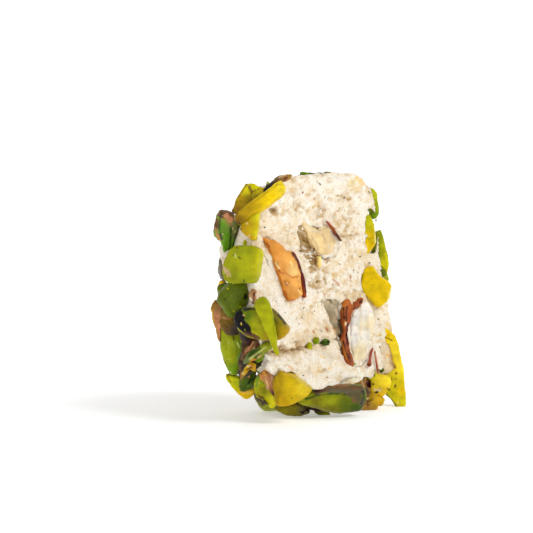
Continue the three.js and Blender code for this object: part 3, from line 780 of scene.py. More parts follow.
        facing=(-54, -6), thick=3.2, edge=6, tone=0.78, rough=0.35, back=MUSTARD,
        outline=[(281, 368), (286.2, 371.6), (293.2, 375.3), (300.3, 380.1), (307.3, 385.1),
            (312.4, 389.2), (308.5, 394.2), (301.4, 399), (294.3, 403.3), (287, 405.4), (281.5, 405.8),
            (276.4, 405), (275.4, 398), (274.6, 391.5), (272.8, 385.4), (273.2, 378.8), (276.4, 373)],
        dabs=[(279, 378, MUSTARD), (277, 391, MUSTARD), (290, 384, YELLOW), (292, 396, YELLOW),
            (302, 388, LEMON), (284, 401, GOLD)],
        strokes=[(UMBER, 1.2, [(286.8, 380.4)]), (LEMON, 1.6, [(297, 379.4), (304, 384.4),
            (310.5, 388.8)]), (OLIVE, 1.2, [(291.8, 398.4)]), (MUSTARD, 3.0, [(275, 380), (275.6, 392),
            (278, 402)])]),
    "kernel_under_left": dict(
        facing=(-50, -24), thick=3.0, edge=2.6, tone=1.15, rough=0.8, back=UMBER,
        outline=[(274.6, 406.5), (281, 402.5), (288, 400.5), (296, 399.5), (303, 401.5), (309.5, 406.5),
            (311, 411.7), (301, 415.1), (294, 414.9), (287, 414.3), (281, 411.3)],
        dabs=[(283, 408, OLIVE), (294, 410, OLIVE), (304, 411, GREY_SKIN)],
        strokes=[(BROWN_SKIN, 1.2, [(294, 403.6), (301, 404.2)]), (BLACK_SKIN, 2.0, [(301, 412.6),
            (309, 409)])]),
    # painted light: leaf green and lighter in the middle of the kernel, olive, moss and deep green and
    # darker towards its edges
    "kernel_bottom": dict(
        facing=(-28, -8), thick=4.2, edge=2.6, rough=0.7, nudge=1.7, back=BROWN_SKIN,
        outline=[(294, 396), (303, 394.5), (311.9, 389.8), (316, 387), (323, 384.9), (331.6, 384),
            (342, 384.7), (352.6, 384), (361.2, 384), (364.4, 387.2), (365, 393), (365.2, 398),
            (362.6, 404.8), (358.6, 410.4), (349, 412.2), (339.3, 412.9), (330, 412.5), (322.8, 411.1),
            (313.8, 407.6), (305.6, 405.5), (297, 403)],
        dabs=[(330, 401, LEAF), (316, 403, OLIVE), (346, 406, MOSS), (304, 401, LEAF),
            (356, 408, DEEP_GREEN), (332, 410, OLIVE)],
        strokes=[(GREY_SKIN, 9.0, [(318, 390.6), (330, 388.4), (345, 388.8), (360, 390.6)]),
            (BROWN_SKIN, 3.0, [(319, 389), (331, 387), (346, 387.4), (360, 388)]),
            (GREY_SKIN, 7.0, [(350, 394), (358, 397.5), (361, 402)]), (PURPLE_SKIN, 2.4, [(316, 391),
            (329, 390)]), (CLAY, 1.2, [(326, 384.8), (340, 385), (350, 385)]), (RUST, 0.9, [(334, 384.6),
            (344, 384.8)]), (DEEP_GREEN, 1.4, [(306, 399), (317, 395.6), (331, 393.6), (345, 394.6)]),
            (DUSK, 2.4, [(363.6, 392), (363.8, 398), (361, 404)]), (BROWN_SKIN, 2.6, [(352, 398),
            (356, 403)])]),
    "foot_front": dict(
        facing=(-36, -24), thick=2.6, edge=3.4, rough=2.8, jag=0.22, back=UMBER,
        outline=[(355.6, 411), (359.8, 404), (363, 400), (365, 395), (369, 393), (374, 394), (379, 395.6),
            (384.8, 396.8), (381, 400.4), (376.4, 401.8), (371.4, 405.2), (366.3, 407.8), (361, 410.4)],
        dabs=[(370, 398, MUSTARD), (366, 403, CLAY), (360, 408, CLAY), (379, 398, GOLD)],
        strokes=[(DARK_RUST, 1.6, [(367.4, 401), (372, 400), (374.6, 398)]),
            (DARK_RUST, 1.4, [(362, 407.6), (368, 404.6)]), (GOLD, 1.8, [(373.5, 396.5), (379, 398.4)]),
            (PALE_CRUMB, 1.1, [(366, 398.6), (368, 399)]), (AMBER, 1.2, [(360, 409), (366, 405.6)]),
            (BROWN_SKIN, 1.6, [(364, 401.6), (361, 406)])]),
    "cluster_right": dict(
        facing=(-44, -6), thick=3.2, edge=3.0, tone=1.1, rough=1.4, back=BRONZE,
        outline=[(366.5, 371), (370.5, 370.2), (374.6, 372), (378.2, 373.6), (384.5, 374), (390.5, 375.5),
            (391.4, 383), (388.4, 390.2), (385.1, 395.2), (381.6, 398.5), (376, 399.5), (371, 398.5),
            (365.6, 397), (362.6, 392.4), (361.8, 386.6), (364.2, 379.5)],
        dabs=[(371, 375, LIME), (382, 381, LEMON), (376, 390, LEMON), (368, 393, MUSTARD),
            (382, 393, GOLD)],
        strokes=[(WINE, 2.6, [(367.4, 374.6), (367.6, 375.8)]), (WINE, 2.4, [(374, 374.4), (374, 375.4)]),
            (DARK_RUST, 3.0, [(368.4, 381.6), (369, 386.8)]), (WINE, 1.6, [(369.8, 383), (368.6, 387)]),
            (PALE_CRUMB, 2.6, [(374.6, 389), (381, 389.6)]), (WINE, 1.4, [(373.4, 384.4)]),
            (WINE, 1.6, [(375.4, 392.6), (377, 392)]), (PALE_CRUMB, 1.2, [(360.4, 391.6), (364, 394.6)]),
            (PALE_CRUMB, 1.4, [(365.6, 382), (364.6, 388), (365.4, 393)]), (BRONZE, 1.4, [(387, 388.5),
            (389.6, 389.6)])]),
    # painted light: a pale lemon stroke of painted highlight down the right edge, and mustard strokes of
    # painted shade on the left and lower left
    "nugget_right": dict(
        facing=(-46, 2), thick=3.4, edge=4.5, tone=0.92, rough=0.5, back=MUSTARD,
        outline=[(367.3, 267), (371.8, 267.2), (375, 271.8), (378.3, 275.7), (382.2, 278.8),
            (386.8, 280.6), (390.3, 284.3), (391.5, 287.4), (390.8, 293.7), (390.2, 298.7),
            (387.2, 301.9), (383.6, 304), (381.4, 306.7), (378.5, 308.2), (374.1, 305.9), (370.6, 301.6),
            (365.7, 297.4), (361.4, 293.8), (359, 288.8), (357.7, 284.5), (359, 279.3), (360.6, 273.8),
            (362.9, 269.3)],
        dabs=[(368, 276, YELLOW), (366, 288, YELLOW), (378, 290, YELLOW), (384, 288, YELLOW),
            (378, 303, YELLOW)],
        strokes=[(PALE_LEMON, 1.2, [(390.6, 288), (389.6, 294), (388.6, 300)]),
            (MUSTARD, 1.0, [(371.8, 278.4)]), (MUSTARD, 1.2, [(361.4, 285)]),
            (MUSTARD, 1.0, [(359.4, 282), (361, 290), (367, 297)])]),
    "slice_right_high": dict(
        facing=(-44, 2), thick=1.6, rough=0.6, back=MOSS, nudge=-0.8,
        outline=[(366, 187), (373.4, 189.8), (376.2, 194.3), (377.3, 201.4), (378.1, 208.5),
            (378.8, 213.6), (376, 218.2), (372.8, 218.9), (369, 215.5), (368, 208), (368, 200),
            (366, 193)],
        dabs=[(373, 194, LIME), (375, 204, LEAF), (374, 215, GREEN)],
        strokes=[(WINE, 1.4, [(369.4, 188.4)]), (MOSS, 1.4, [(372.6, 205), (371.4, 214)])]),
    "slice_right_mid": dict(
        facing=(-48, 2), thick=1.8, tone=0.85, rough=0.6, back=MUSTARD,
        outline=[(366.7, 213.6), (369.8, 215.2), (371.9, 219.5), (373.8, 223.9), (374.4, 229.6),
            (375.2, 236), (376, 243.1), (372.8, 248.8), (368.4, 252.6), (366, 254.8), (363.4, 250.8),
            (362.9, 242.2), (363.6, 235.2), (363.8, 224.6), (364.7, 216.8)],
        dabs=[(368, 218, LIME), (369, 226, CHARTREUSE), (369, 236, YELLOW), (368, 247, YELLOW)],
        strokes=[(PALE_LEMON, 1.0, [(374.3, 229), (375, 236), (375.6, 242.4)]),
            (MUSTARD, 0.9, [(366, 237), (369.6, 239.4), (373, 238)])]),
    # painted light: moss and a moss stroke of painted shade at the lower left, and a lighter chartreuse
    # stroke along the right edge
    "slice_right_low": dict(
        facing=(-44, 4), thick=1.6, rough=0.5, back=MOSS, nudge=-0.4,
        outline=[(375.6, 231.3), (380.2, 229.8), (381.9, 233.6), (384, 239.9), (386, 249.1),
            (388.1, 258.2), (388.6, 264.8), (387.6, 272.6), (384, 270.8), (379, 265), (374, 258.6),
            (369.6, 253.4), (373, 247), (374.6, 240)],
        dabs=[(379, 235, LEAF), (382, 246, LIME), (385, 262, CHARTREUSE), (375, 252, MOSS),
            (377, 244, GREEN)],
        strokes=[(MOSS, 2.4, [(372, 253.6), (377, 259.4)]), (CHARTREUSE, 1.2, [(385, 250),
            (387.4, 262)])]),
    "slice_right_long": dict(
        facing=(-50, 0), thick=1.9, rough=0.6, jag=0.04, back=MUSTARD,
        outline=[(383.2, 326), (390.1, 331), (394.8, 335.4), (398.7, 345.9), (399.8, 353), (401.5, 362.8),
            (403.3, 370), (404, 378.3), (404.5, 388), (405.4, 398.7), (405, 405.5), (403.4, 410),
            (401.4, 412.6), (399.2, 411), (396, 406.6), (392.4, 401.4), (389.6, 398), (386, 395),
            (385, 388), (385, 380), (387, 373), (393, 370), (396.6, 368), (393.5, 361.5), (390.7, 351.8),
            (388.6, 344.2), (384.6, 340.8), (383, 335), (380.3, 330.4)],
        dabs=[(387, 333, YELLOW), (396, 350, LEMON), (400, 366, LEMON), (394, 380, CHARTREUSE),
            (401, 390, YELLOW), (402, 402, CHARTREUSE), (391, 394, LIME)],
        strokes=[(DARK_RUST, 1.4, [(396.4, 373.4)]), (UMBER, 1.8, [(390.8, 379.2)]),
            (WINE, 1.4, [(395.6, 385.4), (395, 387)]), (UMBER, 1.1, [(389.4, 390)]),
            (MUSTARD, 2.0, [(397.6, 388)]), (PALE_LEMON, 1.2, [(398, 403)]), (OLIVE, 1.8, [(387, 395),
            (391.5, 400), (395.5, 406.4)]), (BRONZE, 1.0, [(385, 337), (392, 340.5)]),
            (BRONZE, 0.9, [(395.8, 379.2)])]),
}

# Almonds in the cut face. front is how far each stands proud of its outline's plane.
ALMONDS = {
    # painted highlight: the apricot facet at the upper right is lighter
    "almond_roasted": dict(
        spot=(-9.8, -0.1, 3.3), thick=2.6, front=0.55, edge=4.5, rough=0.8, back=RUST,
        outline=[(257.6, 236.4), (263.3, 239), (270.4, 239.6), (275, 242), (280.6, 246.2), (284.8, 250.8),
            (290.8, 251.8), (294.4, 256), (297.9, 262), (301, 269), (303.4, 275.5), (305, 284),
            (305.6, 291), (306.2, 296.2), (300.2, 299.4), (294.7, 301.4), (289, 300.6), (285, 295),
            (281, 285.2), (277.2, 275.5), (271.6, 263.5), (267.2, 253.4), (262.6, 244.5)],
        dabs=[(266, 243, HONEY), (276, 252, HONEY), (288, 259, AMBER), (281, 270, HONEY),
            (293, 272, APRICOT), (296, 286, AMBER), (290, 297, HONEY), (287, 284, HONEY)],
        strokes=[(COPPER, 2.6, [(262, 243), (268, 254.5), (273.4, 265), (279, 278), (283.5, 290),
            (287, 298)]), (DARK_RUST, 1.5, [(292.5, 253), (297.4, 261), (301, 270), (303.2, 277),
            (304.6, 286), (305.2, 294)]), (COPPER, 1.4, [(284, 272), (292, 277.6), (301, 276)]),
            (APRICOT, 2.4, [(290, 262), (296, 272)]), (RUST, 1.2, [(277.4, 264), (279, 271),
            (283, 273.6)]), (PALE_CRUMB, 1.1, [(276, 263.6), (279, 268.5)]),
            (PALE_FLESH, 1.2, [(285.6, 283.4), (288.4, 283.8)]), (RUST, 1.1, [(284.6, 281), (287, 285.6),
            (289.4, 282.6)]), (RUST, 1.0, [(298.6, 286), (300.6, 288), (298, 291)]),
            (COPPER, 1.4, [(290, 300), (296, 300), (303, 297.4)]), (HONEY, 1.0, [(271, 258), (278, 276),
            (283, 288)]), (APRICOT, 1.0, [(298, 290), (301.6, 294)]), (RUST, 1.2, [(266.6, 243.4),
            (269.6, 247)])]),
    "almond_lower": dict(
        spot=(8.5, -0.05, -9.4), thick=2.4, front=0.25, tone=0.9, rough=1.8, back=TAN_SKIN,
        outline=[(348, 312), (352, 309.5), (357, 305.5), (362, 301), (366, 299.5), (370, 301.5),
            (374, 306.5), (376.5, 313), (377.5, 321), (377, 330), (375, 338), (371.5, 344), (368, 350.5),
            (365, 357), (361, 360.5), (356, 361.5), (351.5, 361), (348, 353), (347, 345), (346.4, 335),
            (346.4, 322)],
        dabs=[(354, 318, MILK), (353, 340, MILK), (357, 352, PALE_FLESH), (364, 312, MILK),
            (369, 325, PALE_FLESH), (362, 350, PALE_FLESH), (364, 336, MILK)],
        strokes=[(LILAC, 1.1, [(352, 315), (351, 324), (350.6, 336)]), (MILK, 1.2, [(356, 314),
            (354.6, 330), (355, 346)]), (PALE_FLESH, 1.0, [(360, 308), (361, 322), (360, 338)]),
            (MILK, 1.2, [(365, 336), (366, 342)]), (PALE_FLESH, 1.0, [(372, 318), (373, 332),
            (370, 342)]), (PALE_FLESH, 4.0, [(359, 348), (361, 356)]), (SAND, 1.0, [(357, 306.6),
            (354, 310), (352.6, 316)])]),
    "almond_upper": dict(
        spot=(1.5, 0.0, 6.6), thick=2.2, front=0.08, rough=1.5, back=TAN_SKIN,
        outline=[(297.5, 220.6), (303, 222.8), (308.2, 225), (314, 228), (319.6, 231.4), (323.2, 229.8),
            (328, 227.6), (331.8, 228), (334, 232.4), (339, 238.5), (339.8, 242.2), (336.8, 248.8),
            (333.2, 253.8), (326.7, 254.6), (321, 253.8), (315.8, 251), (312.2, 244.6), (307.3, 237.6),
            (303.8, 230.5), (299.6, 226)],
        dabs=[(303, 226, BLANCHED), (314, 235, BLANCHED), (326, 236, BLANCHED), (318, 246, BLANCHED),
            (330, 247, BLANCHED), (336, 242, SAND)],
        strokes=[(IVORY, 2.0, [(305, 226), (314, 231), (322, 232)]), (BLANCHED, 1.4, [(316, 240),
            (319, 248), (325, 252)]), (IVORY, 2.0, [(327, 243), (332, 250)]), (SAND, 1.0, [(309, 232),
            (316, 243), (318, 250)]), (SAND, 1.2, [(331, 231), (336, 240), (337, 246)]),
            (SAND, 1.0, [(322, 234), (326, 243)])]),
}

# Skins, crumbs and lumps on the cut face or between the nuts, a dark sheet of painted shade between the
# lower left nuts, and the torn nougat of two hollows, partly in painted shade.
DETAILS = {
    "almond_roasted_edge": dict(
        slot="roasted_almond", spot=(-5.6, -0.3, 3.0), thick=0.6, front=0.15, rough=0.5, jag=0.05,
        outline=[(291, 251), (294.4, 253.6), (298.6, 260.6), (302, 269), (304.4, 276), (306, 284),
            (306.8, 291), (307.2, 297), (305.6, 298.4), (304.2, 291), (303.2, 284.6), (301.4, 277),
            (298.8, 270), (295.4, 262), (292, 256)],
        dabs=[(294, 255, DARK_RED), (300, 266, RUST), (304, 280, DARK_RED), (306, 294, RUST)],
        strokes=[(WINE, 1.0, [(296, 258), (301, 270), (304, 282), (305.6, 292)])]),
    "lump_right": dict(
        slot="nougat", spot=(14.6, 0.5, -13.0), facing=(-24, 0), thick=2.6, front=0.4, rough=1.6,
        jag=0.25,
        outline=[(374, 322), (380, 326), (384, 329.5), (388, 336), (391.5, 344), (394, 352), (396.5, 361),
            (398, 369), (391, 372.5), (383, 375), (374, 376), (368, 372), (368, 350), (371, 335)],
        dabs=[(382, 335, CURD), (388, 352, IVORY), (390, 366, IVORY), (376, 360, CURD)],
        strokes=[(APRICOT, 1.2, [(387, 354), (393, 360)]), (PALE_FLESH, 1.6, [(377, 341), (384, 341.5)]),
            (RUST, 2.2, [(379.2, 346.5)])]),
    "lump_upper_left": dict(
        slot="nougat", spot=(-17.4, 6.5, 3.6), facing=(-60, 0), thick=2.4, edge=3, rough=1.6, jag=0.2,
        nudge=-1.6,
        outline=[(221.6, 243), (227, 247), (233, 250), (231, 262), (226, 270), (222.4, 266), (221, 256)],
        dabs=[(222, 250, CURD), (224, 264, CURD)],
        strokes=[(SAND, 1.2, [(221.6, 262), (222.6, 266)])]),
    "filler_left": dict(
        slot="pistachio_skin", spot=(-17.6, 5.4, -4.6), facing=(-70, 0), thick=1.6, edge=3, rough=1.6,
        nudge=-1.4,
        outline=[(221, 309), (229, 311), (236, 318), (241, 330), (236, 335), (226, 333), (220, 322)],
        dabs=[(222, 314, BRONZE), (229, 321, BRONZE), (236, 330, DUSK)],
        strokes=[(TAN_SKIN, 1.4, [(223.6, 317.4), (229, 319.6)])]),
    # painted shade: a dark sheet behind the lower left flakes and kernels, standing for the shade between
    # them
    "filler_low_left": dict(
        slot="pistachio_skin", spot=(-16.8, 2.6, -9.8), facing=(-60, 0), thick=1.8, edge=3, rough=2.0,
        outline=[(236, 327), (246, 333), (256, 338), (266, 340), (272, 342), (270, 349), (263, 356),
            (259, 366), (252, 374), (243, 378), (236, 374), (238, 362), (243, 350), (241, 338)],
        dabs=[(242, 334, DUSK), (252, 342, WINE), (262, 346, UMBER), (246, 352, UMBER),
            (254, 362, BLACK_GREEN), (242, 372, DUSK)],
        strokes=[(OLIVE, 2.0, [(264, 343), (270, 345)]), (BROWN_SKIN, 2.4, [(240, 366), (241, 374)]),
            (BLACK_SKIN, 2.0, [(243, 338), (248, 340)])]),
    "crumbs_low_left": dict(
        slot="pistachio_skin", spot=(-17.8, 1.4, -13.4), facing=(-62, 0), thick=1.0, edge=3, rough=2.6,
        jag=0.3, nudge=0.6,
        outline=[(243.6, 365), (247.6, 362.6), (252.6, 363), (255.4, 366.6), (254.6, 371), (251.4, 368.8),
            (247.4, 370.6), (245.6, 375.6), (241.6, 378.4), (240.6, 374), (242.4, 370)],
        dabs=[(248, 365, GOLD), (253, 367, MUSTARD), (244, 372, GOLD), (242, 376, CLAY)],
        strokes=[(PALE_CRUMB, 1.4, [(246, 365.6), (249, 366.4)]), (DARK_RUST, 1.1, [(251, 367.4),
            (247, 369.4)]), (PALE_CRUMB, 1.0, [(243, 372), (243.6, 374)]), (HONEY, 1.2, [(251.6, 364.6),
            (254, 368)])]),
    "almond_lower_skin": dict(
        slot="roasted_almond", spot=(5.6, -0.3, -9.0), thick=0.7, front=0.2, rough=1.9, jag=0.2,
        back=DARK_RUST,
        outline=[(343, 301), (347.7, 298.9), (349.5, 302.6), (352, 306.4), (354.6, 303.6), (358.2, 301.6),
            (362.7, 299.4), (362.2, 303.6), (357.7, 306.6), (353.4, 309.4), (349.2, 310.8),
            (348.4, 316.8), (347.6, 322.4), (346.6, 328), (347, 335.7), (347.8, 342.7), (349, 351.8),
            (350.8, 358.7), (352.4, 364.3), (350.7, 367.5), (347.4, 366), (344.6, 356.8), (341.8, 346.2),
            (339.6, 339), (341.2, 335.8), (342.7, 331), (342.2, 322.4), (341.5, 314.7), (341.6, 307.6)],
        dabs=[(346, 303, COPPER), (346, 314, RUST), (345, 330, RUST), (344, 344, RUST), (349, 360, RUST),
            (358, 304, RUST)],
        strokes=[(DARK_RUST, 1.6, [(347, 307), (346, 314), (346.4, 320)]), (WINE, 1.4, [(347.4, 324),
            (346.6, 335), (347.8, 345)]), (DARK_RUST, 1.3, [(348, 350), (350.4, 362)]),
            (HONEY, 1.0, [(343.4, 304), (342.6, 312)]), (WINE, 1.2, [(343.6, 308), (344, 318)]),
            (COPPER, 1.2, [(344.6, 322), (343.6, 332)]), (WINE, 1.4, [(343, 341), (346, 352),
            (349, 362)]), (HONEY, 1.0, [(340.8, 339), (344, 350), (347, 361)]),
            (BLACK_SKIN, 1.2, [(361.6, 300.8), (360, 302.6)]), (PALE_FLESH, 1.2, [(346, 323),
            (345.6, 325)]), (DARK_RUST, 1.2, [(351.6, 309.4), (355, 307.4)])]),
    "almond_lower_thread": dict(
        slot="roasted_almond", spot=(11.0, -0.35, -14.0), thick=0.25, front=0.05, rough=0.4, jag=0.04,
        back=RUST,
        outline=[(373.4, 347.8), (373.8, 348.8), (371.8, 353), (370.8, 358), (370.8, 362.4),
            (370.8, 365.4), (368.8, 366.6), (367.6, 365), (369.2, 362.4), (369.9, 357.6), (370.9, 352.6),
            (372.6, 348.6)],
        dabs=[(372.4, 350, ROSE), (370.4, 357, ROSE), (369.6, 365, RUST)],
        strokes=[(DARK_RUST, 1.2, [(369, 364.6), (371, 365)])]),
    "almond_red_thread": dict(
        slot="roasted_almond", spot=(12.5, -0.35, -15.0), thick=0.25, front=0.05, rough=0.3, jag=0.03,
        back=DARK_RED,
        outline=[(374.4, 350.6), (375, 351), (376.3, 358.6), (377.7, 366), (378.9, 373), (378.2, 373.2),
            (376.9, 366.4), (375.5, 359.4), (374.5, 354.4)],
        dabs=[(375, 356, PINK_SKIN), (377, 364, ROSE), (378.6, 371, ROSE)]),
    "almond_upper_skin": dict(
        slot="roasted_almond", spot=(5.4, -0.3, 8.4), thick=0.4, front=0.1, rough=0.4, jag=0.04,
        back=DARK_RED,
        outline=[(325.6, 220.2), (328.4, 222.2), (331.4, 225.2), (334.4, 227.8), (335, 231), (338.4, 235),
            (342.4, 240.6), (341.6, 241.2), (337.4, 236.4), (334, 232.6), (333.2, 229.4), (330, 226.4),
            (327.2, 223.2)],
        dabs=[(328, 223, ROSE), (333, 228, RUST), (337, 235, PURPLE_SKIN), (341, 240, BROWN_SKIN)]),
    "orange_sliver": dict(
        slot="blanched_almond", spot=(-0.8, -0.4, 3.2), facing=(-20, 0), thick=0.7, tone=1.2, rough=0.5,
        back=AMBER,
        outline=[(317, 255.8), (319.4, 256.2), (321.4, 257.4), (320.6, 267.4), (316.8, 267.8),
            (317, 261)],
        dabs=[(319, 258, APRICOT), (319, 266, APRICOT)]),
    "crumb_lime": dict(
        slot="pistachio_lime", spot=(-5.7, -0.5, -9.8), facing=(-20, 0), thick=0.9, edge=4, rough=1.2,
        back=OLIVE,
        outline=[(306.6, 343), (310, 341.6), (311.6, 345), (312.4, 350.2), (309, 349.6), (305.2, 350.2),
            (305.8, 346)],
        dabs=[(308, 344, LEAF), (309, 348, LIME)]),
    "crumb_small_green": dict(
        slot="pistachio_green", spot=(-4.0, -0.5, -9.2), facing=(-20, 0), thick=0.9, edge=3, rough=1.2,
        back=DEEP_GREEN,
        outline=[(315, 338.6), (316.8, 338), (318.2, 339.8), (317.6, 342.2), (315.4, 343.2),
            (314, 341.2)],
        dabs=[(315, 339, LEAF), (317, 342, GREEN)]),
    "crumb_dark_green": dict(
        slot="pistachio_green", spot=(-1.9, -0.5, -9.7), facing=(-20, 0), thick=1.2, edge=2.6,
        back=DEEP_GREEN,
        outline=[(321.4, 341), (324.6, 339), (329, 338.8), (330.4, 341.6), (329, 345.4), (324.6, 346.8),
            (320.8, 344.4)],
        dabs=[(323, 342, DEEP_GREEN), (328, 342, DEEP_GREEN)],
        strokes=[(SPRING_GREEN, 0.9, [(324, 340.2), (327, 339.8)]), (BLACK_GREEN, 1.4, [(328, 341.6)])]),
    "flake_brown": dict(
        slot="pistachio_skin", spot=(-17.6, 1.0, -8.6), facing=(-50, 0), thick=0.6, edge=4, curl=0.5,
        rough=1.8, back=BROWN_SKIN,
        outline=[(251, 340), (256.6, 339.6), (260, 344), (258.8, 347.8), (254, 351), (249.6, 356.4),
            (245, 362.8), (242.2, 360.4), (242.4, 352), (244.6, 346.4), (249.6, 345)],
        dabs=[(255, 343, BROWN_SKIN), (249, 349, CLAY), (246, 357, BROWN_SKIN)],
        strokes=[(PINK_SKIN, 1.6, [(253, 342.6), (249, 348), (246, 353)]),
            (DARK_RUST, 1.4, [(257.6, 343.6), (256.4, 348)]), (DARK_RUST, 1.0, [(248, 352),
            (244.6, 358)]), (SAND, 0.9, [(254, 348), (253.4, 349.4)])]),
    "leaf_low_bright": dict(
        slot="pistachio_lime", spot=(-17.0, 1.4, -10.2), facing=(-58, 0), thick=0.8, back=SPRING_GREEN,
        outline=[(267.4, 350.6), (266.8, 355.4), (262.8, 360), (259, 362.8), (254.4, 361), (259, 355.6)],
        dabs=[(264, 354, LEAF), (258, 360, GREEN)],
        strokes=[(PALE_CRUMB, 1.0, [(267, 351.6), (266, 356)])]),
    "chip_pale_green": dict(
        slot="pistachio_lime", spot=(-15.4, 5.6, -8.6), facing=(-60, 0), thick=0.9, edge=3, rough=0.9,
        back=SPRING_GREEN,
        outline=[(243, 350.6), (244, 354), (241.8, 358.4), (237.8, 359.8), (236.4, 357), (239.4, 353.2)],
        dabs=[(241, 353, SPRING_GREEN), (239, 357, SPRING_GREEN)]),
    "skin_curl": dict(
        slot="pistachio_skin", spot=(-15.8, 1.2, -14.0), facing=(-56, 0), thick=0.7, edge=4, curl=0.4,
        rough=1.6, back=BROWN_SKIN,
        outline=[(264.4, 370), (268.6, 371.6), (271.6, 375.2), (273, 379), (272.2, 383.4), (273, 388.2),
            (275.8, 393.9), (274.2, 395.8), (270.1, 392.8), (267, 388.4), (266.4, 383.3), (264.2, 379.4),
            (261.6, 377.3), (260, 374)],
        dabs=[(264, 373, AMBER), (269, 377, PINK_SKIN), (269, 385, PINK_SKIN), (272, 392, PURPLE_SKIN)],
        strokes=[(PALE_CRUMB, 1.0, [(265.4, 378), (267.4, 384), (268, 389)]),
            (BROWN_SKIN, 1.2, [(266, 372), (270, 378)]), (SAND, 1.0, [(272.2, 377.4), (271.8, 381)])]),
    "skin_bit_left": dict(
        slot="pistachio_skin", spot=(-17.3, 0.2, -1.4), facing=(-60, 0), thick=0.8, edge=4, rough=1.6,
        back=BROWN_SKIN,
        outline=[(252, 288.6), (254.4, 291), (255, 297), (255, 303.6), (251.6, 302.4), (248.6, 299),
            (248.6, 294.4)],
        dabs=[(252.6, 291, TAN_SKIN), (253.6, 297, PINK_SKIN), (250.6, 300, SAND)],
        strokes=[(MILK, 1.4, [(250.6, 299), (252, 301)]), (DARK_RUST, 1.1, [(254.2, 293),
            (253, 302.6)])]),
    "sliver_under_front": dict(
        slot="pistachio_lime", spot=(-0.6, 1.6, -21.4), facing=(-46, -16), thick=1.4, edge=4, rough=0.8,
        back=MOSS,
        outline=[(313.6, 410.6), (320, 409.6), (328, 411), (330.6, 413.2), (328.6, 415.6), (323, 416),
            (318, 414.2)],
        dabs=[(319, 412, MOSS), (327, 414, LEAF)],
        strokes=[(DARK_RUST, 1.6, [(314, 410.6), (321, 411), (327, 411.4)]),
            (PINK_SKIN, 0.9, [(319.6, 410.8), (321.6, 411)])]),
    "skin_under_front": dict(
        slot="pistachio_skin", spot=(-2.6, 1.4, -20.6), facing=(-46, -16), thick=1.2, edge=4, rough=1.2,
        back=WINE,
        outline=[(305.6, 403.6), (313, 405.6), (322, 409), (328, 411.6), (326, 412.6), (316, 410.4),
            (306.6, 408.8)],
        dabs=[(309, 406, PURPLE_SKIN), (318, 408.6, WINE), (326, 411.6, BROWN_SKIN)]),
    "chip_behind_nugget": dict(
        slot="pistachio_lime", spot=(16.6, 1.2, 0.6), facing=(-44, 2), thick=1.2, edge=3, rough=1.4,
        nudge=-1.2, back=SPRING_GREEN,
        outline=[(376.6, 264.6), (380, 263.4), (383.6, 268), (387.4, 274), (388.6, 281), (384, 280.6),
            (379, 277)],
        dabs=[(380, 267, PALE_GREEN), (384, 274, LIME), (387, 279, LEAF)],
        strokes=[(GREEN, 1.2, [(381.4, 267), (382.6, 271)])]),
    "sliver_behind_top": dict(
        slot="pistachio_green", spot=(-1.2, 3.6, 17.6), facing=(-50, 30), thick=1.2, edge=4, rough=0.8,
        back=MOSS,
        outline=[(299.4, 176), (300.4, 173), (304.6, 172.4), (309.6, 173), (311, 175), (309, 177.4)],
        dabs=[(304, 174, GREEN), (309, 175, GREEN)]),
    "skin_behind_top": dict(
        slot="pistachio_skin", spot=(1.6, 3.6, 17.5), facing=(-50, 30), thick=1.0, edge=4, rough=0.8,
        back=DUSK,
        outline=[(309.6, 176), (310, 173.6), (315, 172.8), (321, 173.4), (322, 176), (316, 177)],
        dabs=[(312, 174.6, GREY_SKIN), (320, 174.6, DUSK)]),
    "lump_left": dict(
        slot="nougat", spot=(-15.4, 0.4, -12.0), facing=(-50, 14), thick=2.6, edge=2.6, rough=2.6,
        jag=0.3,
        outline=[(263.6, 364), (267, 360), (271, 357.6), (277, 357.4), (280.6, 361), (281, 366),
            (278, 371.6), (273.6, 374.2), (268, 371.4), (263.4, 369)],
        dabs=[(268, 365, MILK), (276, 362, CURD), (272, 371, CURD)]),
    # painted shade: the sand, clay, bronze, stone and drift of both hollows, and the upper one's tone 0.86,
    # are partly the shade of the hollow
    "hollow_upper": dict(
        slot="nougat", spot=(-4.6, 0.7, 6.2), thick=1.8, front=0.1, edge=3, tone=0.86, rough=3.4, jag=0.3,
        outline=[(295, 226), (304, 225), (312, 233), (316, 243), (322, 251), (323, 259), (313, 262),
            (300, 259), (294, 251), (296, 240)],
        dabs=[(300, 231, SAND), (305, 238, CLAY), (303, 245, SAND), (309, 243, BRONZE), (300, 252, CLAY),
            (307, 255, SAND), (315, 257, CLAY), (313, 250, SAND)],
        strokes=[(CURD, 1.6, [(302.6, 247.4), (306.4, 249)]), (IVORY, 1.4, [(304, 233), (305.6, 236.4)]),
            (BRONZE, 1.4, [(303, 240), (307.4, 243)]), (CURD, 1.2, [(309.6, 252), (311.6, 254)]),
            (BRONZE, 1.4, [(312, 256.6), (316.6, 256)]), (CLAY, 1.2, [(299, 250), (301.6, 254)])]),
    "hollow_lower": dict(
        slot="nougat", spot=(0.6, 0.75, -6.0), thick=1.8, front=0.1, edge=3, rough=3.0, jag=0.3,
        outline=[(317, 299), (329, 296), (343, 298), (346, 306), (345, 320), (346, 332), (343, 338),
            (336, 335), (329, 323), (322, 311)],
        dabs=[(326, 303, STONE), (334, 302, STONE), (338, 310, STONE), (331, 314, DRIFT),
            (337, 320, STONE), (340, 330, DRIFT)],
        strokes=[(IVORY, 2.0, [(336, 311), (339, 318)]), (CURD, 1.4, [(337, 313.6), (337.6, 315)]),
            (DRIFT, 1.6, [(324, 306), (331, 318), (337, 331)]), (DRIFT, 1.4, [(329, 300), (332, 303)]),
            (IVORY, 1.2, [(326, 300), (328, 302)])]),
    # painted light: tone 1.2 brightens the lump against the shade under the face's lower edge
    "lump_low_right": dict(
